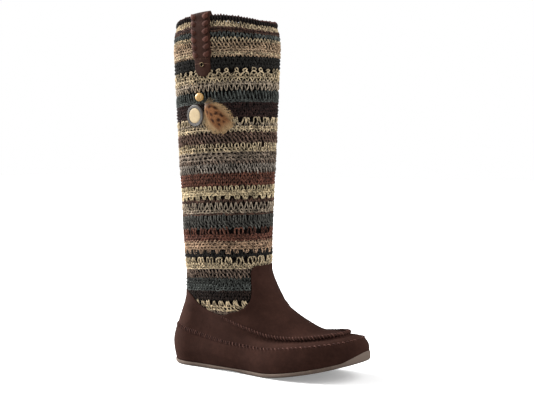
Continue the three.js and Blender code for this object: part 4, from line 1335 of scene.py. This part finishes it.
# How much of the shaft's drawing in also lowers the collar.
COLLAR_SINK = 0.45
EDGE_DARK, EDGE_MAROON = np.array(linear(38, 30, 28)), np.array(linear(86, 54, 48))
# Spread of the loops' size and tone, and the heights on a loop between which it turns maroon.
LOOP_SPREAD, LOOP_TONE, MAROON_OVER = 0.09, 0.12, (0.5, 0.9)


def collar_points(turns, angle, out, rise):
    """Points of an oval round the collar's line, by their angle from straight out."""
    level = np.full_like(turns, float(LAST_LINE))
    outward = form_normal(turns, level)
    outward[..., 2] = 0
    inset = drawn_in(turns, DRAWN_ALL)
    points = form(turns, level) + unit(outward) * (COLLAR_OUT - inset + out * np.cos(angle))[..., None]
    points[..., 2] += COLLAR_RISE - COLLAR_SINK * inset + rise * np.sin(angle)
    return points


def collar_core(material):
    """Dark cord inside the collar's edging."""
    turns = np.repeat(even_turns(LAST_LINE, COLLAR_TURNS)[:, None], CORE_SIDES, 1)
    angle = np.broadcast_to(np.linspace(0, 2 * np.pi, CORE_SIDES, endpoint=False), turns.shape)
    piece = ring_piece("collar_core", collar_points(turns, angle, CORE_OUT, CORE_RISE), material)
    store(piece, "tint", np.tile(linear(*YARNS["black"]), (turns.size, 1)))
    return piece


def collar_edging(material):
    """Yarn whipped over the collar's cord, maroon on top and black on the outside."""
    strands = Strands()
    wraps = even_turns(LAST_LINE, COLLAR_WRAPS)
    step = np.linspace(0, 1, WRAP_STEPS, endpoint=False)
    turns = (wraps[:, None] + np.diff(np.append(wraps, 1))[:, None] * step).ravel()
    angle = np.tile(2 * np.pi * step, COLLAR_WRAPS)
    uneven = np.repeat(1 + rng.normal(0, LOOP_SPREAD, COLLAR_WRAPS), WRAP_STEPS)
    points = collar_points(turns, angle, LOOP_HALF * uneven, LOOP_RISE * uneven)
    centre = collar_points(turns, angle, 0, 0)
    on_top = smooth_step(*MAROON_OVER, np.sin(angle))[:, None]
    tone = np.repeat(1 + rng.normal(0, LOOP_TONE, COLLAR_WRAPS), WRAP_STEPS)[:, None]
    tint = EDGE_DARK * (1 - on_top) + EDGE_MAROON * on_top
    strands.add(points, EDGE_YARN, tint * tone, unit(points - centre), closed=True)
    return strands.sweep("collar_edging", material)


# Pull strap
STRAP_X = 74.5
STRAP_LEAN = 0.05
STRAP_END = 337
STRAP_INSIDE_END = 371
STRAP = 2.2
STRAP_ON_KNIT = 0.5
BARE_HALF = 9.9
LACED_HALF = 12
LACED_FROM = 359
LACE_PITCH = 8.5
LACE_HALF = 2.9
LACE_INSET = {-1: 0, 1: 2.2}
LACE_TINTS = [linear(88, 53, 43), linear(82, 49, 39), linear(97, 59, 48)]
LACE_SPREAD = 0.3
LACE_SIDES, LACE_FLATNESS = 10, 0.36
# The lacing stops this far short of the strap's inner end.
LACE_STOPS = 4
# The strap widens from a little below its lacing to a little above, and its laced edge is scalloped.
WIDENS_BELOW, WIDENS_ABOVE, SCALLOP = 4, 3, 0.5
LOOP_OUT, LOOP_Z, LOOP_RADIUS, LOOP_SLANT = -1.5, 404.6, 2.8, 1.4
# Heights at which the strap starts to bend towards its loop, is bent, and meets the loop.
BENDS_FROM, BENT_ALL, LOOP_FROM = 384, 397, 402


def strap_x(z):
    return STRAP_X - STRAP_LEAN * (z - STRAP_END)


def strap_centre():
    """Path of the strap's back face as (distance out of the shaft, height, angle it faces)."""
    rows = [(STRAP_ON_KNIT, z, 0.0) for z in np.linspace(STRAP_END, BENDS_FROM, 60)]
    lift = LOOP_OUT + LOOP_RADIUS - STRAP_ON_KNIT
    for z in np.linspace(BENDS_FROM + 1, LOOP_FROM, 14):
        rows.append((STRAP_ON_KNIT + lift * float(smooth_step(BENDS_FROM, BENT_ALL, z)), z, 0.0))
    for angle in np.linspace(0, np.pi, 18):
        rows.append((LOOP_OUT + LOOP_RADIUS * math.cos(angle), LOOP_Z + LOOP_RADIUS * math.sin(angle), angle))
    inside = -KNIT - STRAP_ON_KNIT
    drop = LOOP_OUT - LOOP_RADIUS - inside
    for z in np.linspace(LOOP_FROM, STRAP_INSIDE_END, 28):
        rows.append((inside + drop * float(smooth_step(BENDS_FROM, BENT_ALL, z)), z, np.pi))
    return np.array(rows)


STRAP_PATH = strap_centre()
STRAP_PLACE = run_length(STRAP_PATH[:, :2])


def strap_point(place, across, height):
    """Point of the strap: distance up from its round end, distance off its middle, height off its back."""
    place, across, height = np.broadcast_arrays(np.asarray(place, float), across, height)
    out, z, angle = (np.interp(place, STRAP_PLACE, STRAP_PATH[:, k]) for k in range(3))
    slant = LOOP_SLANT * across / LACED_HALF * np.maximum(0, np.sin(angle))
    return shaft_point(strap_x(z) + across, z + height * np.sin(angle) + slant, out + height * np.cos(angle))


def strap_half(place):
    """Half width: a round bare end, then wider where the edge is laced, scalloped by the lacing."""
    bare = BARE_HALF * quarter_round(place / BARE_HALF)
    start = LACED_FROM - STRAP_END
    laced = smooth_step(start - WIDENS_BELOW, start + WIDENS_ABOVE, place)
    scallop = SCALLOP * np.sin(2 * np.pi * place / LACE_PITCH)
    return bare + laced * (LACED_HALF - BARE_HALF + scallop)


# Places of the strap's sections, close together where its end rounds off.
END_PLACES = [0.05, 0.3, 0.8, 1.6, 2.8, 4.2]
STRAP_PLACES = np.concatenate([END_PLACES, np.linspace(5.6, STRAP_PLACE[-1], 120)])
STRAP_SIDES = np.linspace(-1, 1, 17)
STRAP_FLAT, STRAP_CROWN = 0.98, 0.25


def leather_strap(material):
    """The strap as one flat band with rounded edges, looped over the collar."""
    places, side = STRAP_PLACES, STRAP_SIDES
    front = np.stack([side * STRAP_FLAT, np.ones_like(side)], 1)
    back = np.stack([side[::-1] * STRAP_FLAT, np.zeros_like(side)], 1)
    loop = np.concatenate([front, [[1.0, 0.75], [1.0, 0.25]], back, [[-1.0, 0.25], [-1.0, 0.75]]])
    half = strap_half(places)
    crown = STRAP_CROWN * (1 - loop[:, 0] ** 2) * (loop[:, 1] == 1)
    points = strap_point(places[:, None], half[:, None] * loop[:, 0], STRAP * loop[:, 1] + crown)
    return capped_tube("laced_strap", points, material)


# One stitch of lacing: distance in from the strap's edge, climb along it, height off its back and tilt.
LACE_PATH = np.array([
    (5.2, 0.0, 1.0, 90), (4.9, 0.5, 2.2, 90), (3.8, 1.4, 2.9, 88), (2.0, 2.4, 3.0, 80), (0.3, 3.2, 2.3, 40),
    (-0.4, 3.6, 1.1, 0), (0.4, 4.0, -0.1, -40), (2.5, 5.0, -0.35, -85), (4.5, 6.0, -0.2, -90),
])
SEAM_TINT = linear(128, 92, 76)
# The fine seam: rise over the eyelet's middle, sag to the sides, bare half width there, and thread radius.
SEAM_RISE, SEAM_SAG, SEAM_BARE, SEAM_RADIUS = 1.4, 0.012, 2.8, 0.2
SEAM_ABOVE, SEAM_INSET = 0.22, 0.4
# The row of pricks: places up the strap, heights off its back, places across it, and thread radius.
PRICK_PLACES, PRICK_HEIGHTS = np.array([19.4, 19.9, 20.4]), np.array([2.2, 2.6, 2.2])
PRICKS_ACROSS, PRICK_RADIUS = np.linspace(-7, 7, 8), 0.26


def strap_lacing(material):
    """Thong whipped over both edges of the strap, from its bare end to the loop."""
    strands = Strands()
    inward, climb, height, tilt = LACE_PATH.T
    tilt = np.radians(tilt)
    first = LACED_FROM - STRAP_END
    for edge in (-1, 1):
        for k in range(int((STRAP_PLACE[-1] - LACE_STOPS - first) / LACE_PITCH)):
            start = first + k * LACE_PITCH + rng.normal(0, LACE_SPREAD)
            half = float(strap_half(np.array(start))) - LACE_INSET[edge]
            points = strap_point(start + climb, edge * (half - inward), height)
            away = strap_point(start + climb, edge * (half - inward + np.cos(tilt)), height + np.sin(tilt))
            strands.add(points, LACE_HALF, LACE_TINTS[k % 3], unit(away - points))
    return strands.sweep("strap_lacing", material, LACE_SIDES, LACE_FLATNESS)


def strap_threads(material):
    """A fine seam across the strap through its eyelet, and a row of pricks above it."""
    strands = Strands()
    facing = shaft_axes(STRAP_X, EYELET_Z)[2]
    across = np.linspace(-BARE_HALF + SEAM_INSET, BARE_HALF - SEAM_INSET, 25)
    seam = EYELET_Z - STRAP_END + SEAM_RISE - SEAM_SAG * across ** 2
    for shown in (across < -SEAM_BARE, across > SEAM_BARE):
        points = strap_point(seam[shown], across[shown], STRAP + SEAM_ABOVE)
        strands.add(points, SEAM_RADIUS, SEAM_TINT, facing)
    for place in PRICKS_ACROSS:
        strands.add(strap_point(PRICK_PLACES, place, PRICK_HEIGHTS), PRICK_RADIUS, SEAM_TINT, facing)
    return strands.sweep("strap_threads", material)


# Turned pieces
def turned_piece(name, profile, place, right, up, normal, material, segments):
    """Closed profile of (radius, height) pairs spun about an axis at a place."""
    angle = np.linspace(0, 2 * np.pi, segments, endpoint=False)
    radius, height = np.array(profile, float).T
    points = place + normal * height[None, :, None]
    points = points + right * (radius[None] * np.cos(angle)[:, None])[..., None]
    points = points + up * (radius[None] * np.sin(angle)[:, None])[..., None]
    piece = mesh_piece(name, points.reshape(-1, 3), grid_faces(segments, len(radius), True, True), material)
    weld(piece)
    return piece


def shaft_axes(x, z):
    level = shaft_level(np.array(float(z)))
    normal = form_normal(shaft_turn(np.array(float(x)), level), level)
    right = unit(np.cross([0, 0, 1], normal))
    return right, np.cross(normal, right), normal


BUTTON_X, BUTTON_Z, BUTTON_RADIUS, BUTTON_THICK = 61.3, 293.2, 12.4, 2.8
BUTTON_SEGMENTS = 72
# The button's rounded rim, by distance in from its edge and height, and the fine grooves turned in its ring.
BUTTON_EDGE = [(1, 0), (0.3, 0.3), (0, 1.0), (0, 1.8), (0.3, 2.4), (0.8, BUTTON_THICK)]
GROOVE_DEPTH, GROOVE_PITCH = 0.16, 1.05
INLAY_RADIUS = 8.8
INLAY_FLOOR = 1.5
INLAY_GAP = 0.15
# The inlay's top, by distance in from its edge and height, then its slight dome by radius and height.
INLAY_TOP = [(0, 2.3), (0.3, 2.55), (1.2, 2.66)]
INLAY_DOME = [(5, 2.7), (2, 2.72), (0, 2.72)]
BEAD_X, BEAD_Z, BEAD_RADIUS, BEAD_BORE = 70.5, 314, 4.8, 1.1
EYELET_Z = 350.3
# The eyelet's rolled ring: radius, half its width, half its height, and rise of its middle.
EYELET_RADIUS, EYELET_HALF, EYELET_DEEP, EYELET_RISE = 2.3, 0.5, 0.5, 0.38
SMALL_SEGMENTS = 40
ON_KNIT = 0.5


def charm_button(ring_material, inlay_material):
    """Grey turned ring with shallow grooves, and a plain pale inlay."""
    right, up, normal = shaft_axes(BUTTON_X, BUTTON_Z)
    place = shaft_point(np.array(BUTTON_X), np.array(BUTTON_Z), np.array(ON_KNIT))
    ring = [(0, 0)] + [(BUTTON_RADIUS - inward, height) for inward, height in BUTTON_EDGE]
    for radius in np.linspace(BUTTON_RADIUS - 1.1, INLAY_RADIUS + 0.5, 10):
        turn = 2 * math.pi * (radius - INLAY_RADIUS) / GROOVE_PITCH
        ring.append((radius, BUTTON_THICK - GROOVE_DEPTH * (0.5 + 0.5 * math.cos(turn))))
    ring += [(INLAY_RADIUS + 0.2, 2.5), (INLAY_RADIUS, 2.2), (INLAY_RADIUS, INLAY_FLOOR), (0, INLAY_FLOOR)]
    inlay_edge, inlay_back = INLAY_RADIUS - INLAY_GAP, INLAY_FLOOR + INLAY_GAP
    inlay = [(0, inlay_back), (inlay_edge, inlay_back)]
    inlay += [(inlay_edge - inward, height) for inward, height in INLAY_TOP] + INLAY_DOME
    return (turned_piece("button_rim", ring, place, right, up, normal, ring_material, BUTTON_SEGMENTS),
            turned_piece("button_face", inlay, place, right, up, normal, inlay_material, BUTTON_SEGMENTS))


def charm_bead(material):
    """Round bead with an upright bore."""
    place = shaft_point(np.array(BEAD_X), np.array(float(BEAD_Z)), np.array(BEAD_RADIUS + SEAT_GAP))
    pole = math.asin(BEAD_BORE / BEAD_RADIUS)
    angles = np.linspace(pole, math.pi - pole, 26)
    profile = [(BEAD_RADIUS * math.sin(a), -BEAD_RADIUS * math.cos(a)) for a in angles]
    return turned_piece("wood_bead", profile, place, *np.eye(3), material, SMALL_SEGMENTS)


def brass_eyelet(material):
    """Rolled brass eyelet on the strap's round end."""
    x = strap_x(EYELET_Z)
    place = shaft_point(np.array(x), np.array(EYELET_Z), np.array(ON_KNIT + STRAP + SEAT_GAP))
    angles = np.linspace(0, 2 * np.pi, 14, endpoint=False)
    profile = [(EYELET_RADIUS + EYELET_HALF * math.cos(a), EYELET_RISE + EYELET_DEEP * math.sin(a))
               for a in angles]
    return turned_piece("brass_eyelet", profile, place, *shaft_axes(x, EYELET_Z), material, SMALL_SEGMENTS)


# Feather
FEATHER_FROM = np.array([75.5, 307.5])
FEATHER_TO = np.array([101.0, 277.5])
FEATHER_AT = [0, 0.12, 0.35, 0.6, 0.85, 1]
FEATHER_HALF = [2.5, 7, 12, 13.6, 12, 8.5]
FEATHER_CROWN = [1.0, 2.6, 4.2, 4.6, 3.4, 1.6]
FEATHER_RUST = np.array(linear(164, 112, 72))
FEATHER_BROWN = np.array(linear(66, 38, 22))
FEATHER_TAN = np.array(linear(208, 174, 130))
FEATHER_DOWN = np.array(linear(168, 150, 136))
# Each layer: share of the crown's height, barbs on each side, and the least and most they reach across.
FEATHER_LAYERS = [(0.1, 170, 0.9, 1.2), (0.4, 150, 0.7, 1.1), (0.7, 140, 0.5, 0.95), (1.0, 120, 0.3, 0.8)]
# Dark marks: share of the length, share of the half width, and half sizes along and across.
FEATHER_MARKS = [
    (0.2, 0.22, 0.05, 0.26), (0.27, -0.36, 0.07, 0.16), (0.33, 0.52, 0.08, 0.16), (0.4, -0.12, 0.085, 0.13),
    (0.47, 0.24, 0.055, 0.2), (0.56, -0.38, 0.08, 0.13), (0.6, 0.44, 0.085, 0.12), (0.66, 0.02, 0.06, 0.17),
    (0.78, 0.24, 0.05, 0.12), (0.76, -0.2, 0.06, 0.11),
]
# Barbs that start past TIP_FROM may run near the middle, so the tip is filled. Those behind reach further.
TIP_FROM, TIP_LEAST = 0.55, 0.1
BACK_WIDER = 1.18
LAST_BARB = 0.86
# Shares of the length that a barb runs, and where the tip cuts it off, at its root and at its end.
BARB_RUN = (0.22, 0.42)
TIP_CUT, TIP_ROUND = 1.04, 0.02
BARB_STEPS = np.linspace(0, 1, 9)
BARB_LIFT, BARB_STRAY, LIFT_STRAY = 0.5, 0.35, 0.12
BARB_RADIUS, BARB_TAPER, BARB_TONE = 0.42, 0.75, (0.82, 1.18)
# Loose wisps at the root: length and rise for each millimetre of it.
WISPS = [(10, 0.45), (13, 0.3), (11, 0.16), (8, 0.7), (6, 1.0)]
WISP_RADIUS, WISP_LIFT, WISP_CLIMB, WISP_TONE = 0.4, 2, 1.2, 0.6


def blend(first, second, share):
    return first * (1 - share[:, None]) + second * share[:, None]


def feather_tint(at, side):
    """Rust middle with listed dark marks, a pale fringe, and grey down at the root."""
    off = np.abs(side)
    blotch = np.zeros_like(at)
    for mark_at, mark_side, half_at, half_side in FEATHER_MARKS:
        gap = np.hypot((at - mark_at) / half_at, (side - mark_side) / half_side)
        blotch = np.maximum(blotch, 1 - smooth_step(0.6, 1.15, gap))
    fringe = np.maximum(smooth_step(0.5, 0.85, off), smooth_step(0.78, 1.0, at))
    colour = blend(blend(FEATHER_RUST, FEATHER_BROWN, blotch), FEATHER_TAN, fringe)
    return blend(colour, FEATHER_DOWN, 1 - smooth_step(0.02, 0.2, at))


def feather_barbs(material):
    """Soft vane of fine barbs in layers from the root to the round tip, with loose wisps on top."""
    strands = Strands()
    run = FEATHER_TO - FEATHER_FROM
    along = run / np.linalg.norm(run)
    across = np.array([-along[1], along[0]])

    def lay(spot, lift, thickness, tint):
        points = shaft_point(spot[:, 0], spot[:, 1], lift)
        normal = unit(shaft_point(spot[:, 0], spot[:, 1], lift + 1) - points)
        strands.add(points, thickness, tint, normal)

    def barb(layer, count, k, edge, least, most):
        start = (k + rng.uniform()) / count * LAST_BARB
        reach = rng.uniform(least, most)
        reach *= rng.uniform(TIP_LEAST, 1) if start > TIP_FROM else 1
        reach *= BACK_WIDER if edge < 0 else 1
        run_on = start + BARB_STEPS ** 1.2 * rng.uniform(*BARB_RUN)
        at = np.minimum(run_on, TIP_CUT - TIP_ROUND * BARB_STEPS)
        side = edge * reach * BARB_STEPS ** 0.7
        half = eased(FEATHER_AT, FEATHER_HALF, np.minimum(at, 1))
        spot = FEATHER_FROM + run * at[:, None] + across * (half * side)[:, None]
        spot = spot + rng.normal(0, BARB_STRAY, spot.shape) * BARB_STEPS[:, None]
        crown = eased(FEATHER_AT, FEATHER_CROWN, np.minimum(at, 1))
        rise = layer * crown * np.maximum(0.1, 1 - side ** 2)
        lift = ON_KNIT + BARB_LIFT + rise + rng.normal(0, LIFT_STRAY)
        lay(spot, lift, BARB_RADIUS * taper, feather_tint(at, side) * rng.uniform(*BARB_TONE))

    taper = 1 - BARB_TAPER * BARB_STEPS
    for layer, count, least, most in FEATHER_LAYERS:
        for k in range(count):
            for edge in (-1, 1):
                barb(layer, count, k, edge, least, most)
    for length, rise in WISPS:
        spot = FEATHER_FROM + length * np.stack([BARB_STEPS, rise * BARB_STEPS ** 1.6], 1)
        lay(spot, WISP_LIFT + WISP_CLIMB * BARB_STEPS, WISP_RADIUS * taper, FEATHER_TAN * WISP_TONE)
    return strands.sweep("feather_barbs", material, sides=4, flatness=0.45)


# Studio
AZIMUTH, ELEVATION, ROLL = 32.115, 2.985, -0.216
DISTANCE, FOCAL = 1223.278, 1059.583
TARGET = np.array([124.205, 4.183, 196.054])
FLOOR_HALF = 6
WORLD_LIGHT = 0.37
# Each light: degrees round from the camera (left is below zero), degrees up, strength and spread.
LIGHTS = {
    "key_left": (-113, 30, 7.8, 46),
    "right_soft": (78, 42, 2.2, 60),
}


def toward(azimuth, elevation):
    """Unit vector from the boot to a place at an azimuth and an elevation in degrees."""
    a, e = math.radians(azimuth), math.radians(elevation)
    return Vector((math.sin(a) * math.cos(e), -math.cos(a) * math.cos(e), math.sin(e)))


def photo_camera():
    """Camera at the photograph's viewing angle."""
    back = toward(AZIMUTH, ELEVATION)
    level_right = toward(AZIMUTH + 90, 0)
    level_up = back.cross(level_right)
    roll = math.radians(ROLL)
    right = level_right * math.cos(roll) + level_up * math.sin(roll)
    up = level_up * math.cos(roll) - level_right * math.sin(roll)
    lens = bpy.data.cameras.new("photo_camera")
    lens.sensor_width = SENSOR_WIDTH
    lens.sensor_fit = "HORIZONTAL"
    lens.lens = FOCAL / IMAGE_WIDTH * SENSOR_WIDTH
    camera = bpy.data.objects.new("photo_camera", lens)
    turned = Matrix((right, up, back)).transposed().to_4x4()
    camera.matrix_world = Matrix.Translation(Vector(to_row(TARGET)) + back * DISTANCE * MM) @ turned
    bpy.context.scene.collection.objects.link(camera)
    bpy.context.scene.camera = camera


def studio_floor():
    corners = [(-FLOOR_HALF, -FLOOR_HALF, 0), (FLOOR_HALF, -FLOOR_HALF, 0), (FLOOR_HALF, FLOOR_HALF, 0),
               (-FLOOR_HALF, FLOOR_HALF, 0)]
    mesh = bpy.data.meshes.new("studio_floor")
    mesh.from_pydata(corners, [], [(0, 1, 2, 3)])
    mesh.materials.append(floor_finish())
    floor = bpy.data.objects.new("studio_floor", mesh)
    bpy.context.scene.collection.objects.link(floor)


def studio_light():
    """Even white surroundings, a strong soft light from behind on the left and a weaker one on the right."""
    scene = bpy.context.scene
    scene.view_settings.view_transform = "Standard"
    world = bpy.data.worlds.new("studio")
    world.use_nodes = True
    scene.world = world
    nodes, links = world.node_tree.nodes, world.node_tree.links
    seen = nodes["Background"]
    seen.inputs["Color"].default_value = (1, 1, 1, 1)
    lit = nodes.new("ShaderNodeBackground")
    lit.inputs["Color"].default_value = (1, 1, 1, 1)
    lit.inputs["Strength"].default_value = WORLD_LIGHT
    rays = nodes.new("ShaderNodeLightPath")
    pick = nodes.new("ShaderNodeMixShader")
    links.new(rays.outputs["Is Camera Ray"], pick.inputs[0])
    links.new(lit.outputs[0], pick.inputs[1])
    links.new(seen.outputs[0], pick.inputs[2])
    links.new(pick.outputs[0], nodes["World Output"].inputs["Surface"])
    for name, (turn, height, strength, spread) in LIGHTS.items():
        lamp = bpy.data.lights.new(name, "SUN")
        lamp.energy = strength
        lamp.angle = math.radians(spread)
        light = bpy.data.objects.new(name, lamp)
        light.rotation_euler = toward(AZIMUTH + turn, height).to_track_quat("Z", "Y").to_euler()
        scene.collection.objects.link(light)


# The boot put together
dark_suede = suede_finish("suede", (47, 29, 24), (55, 35, 29), (66, 43, 36))
wrap_suede = suede_finish("wrap_suede", (46, 28, 23), (54, 34, 28), (66, 42, 35))
ridge_suede = suede_finish("seam_suede", (44, 28, 23), (54, 35, 29), (70, 47, 40))
yarn = yarn_finish()
knit_ground_and_shade = knit_ground_and_shade_finish()
thread = tinted_finish("seam_thread", 0.5, 0.1)
thong = tinted_finish("lacing_thong", 1.6, 0.7, 0.8)
barbs = tinted_finish("feather_down", 0.8, 0.1, 0.9)

photo_camera()
studio_floor()
studio_light()
set_on(rubber_sole(rubber_finish()), "sole_rubber", "outsole")
set_on(suede_upper(dark_suede), "suede", "upper")
set_on(suede_wrap(wrap_suede), "wrap_suede", "side_wrap")
set_on(apron_ridge(ridge_suede), "seam_suede", "apron_seam")
set_on(seam_stitches(thread), "seam_suede")
set_on(knit_wall(knit_ground_and_shade), "yarn", "shaft")
for band in crochet(yarn):
    set_on(band, "yarn")
set_on(collar_core(knit_ground_and_shade), "edging", "collar_edge")
set_on(collar_edging(yarn), "edging")
set_on(leather_strap(strap_finish()), "strap_leather", "pull_strap")
set_on(strap_lacing(thong), "strap_leather")
set_on(strap_threads(thread), "strap_leather")
set_on(brass_eyelet(brass_finish()), "eyelet_brass", "strap_eyelet")
set_on(charm_bead(wood_finish()), "bead_wood", "bead")
rim, face = charm_button(horn_finish("button_grey", (68, 63, 60), (95, 89, 84), 3.5),
                         horn_finish("button_pale", (200, 175, 134), (224, 200, 156), 5))
set_on(rim, "button_grey", "button_ring")
set_on(face, "button_pale", "button_inlay")
set_on(feather_barbs(barbs), "feather_down", "feather")
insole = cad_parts["insole"]
footbed = footbed_finish()
for slot in insole.material_slots:
    slot.material = footbed
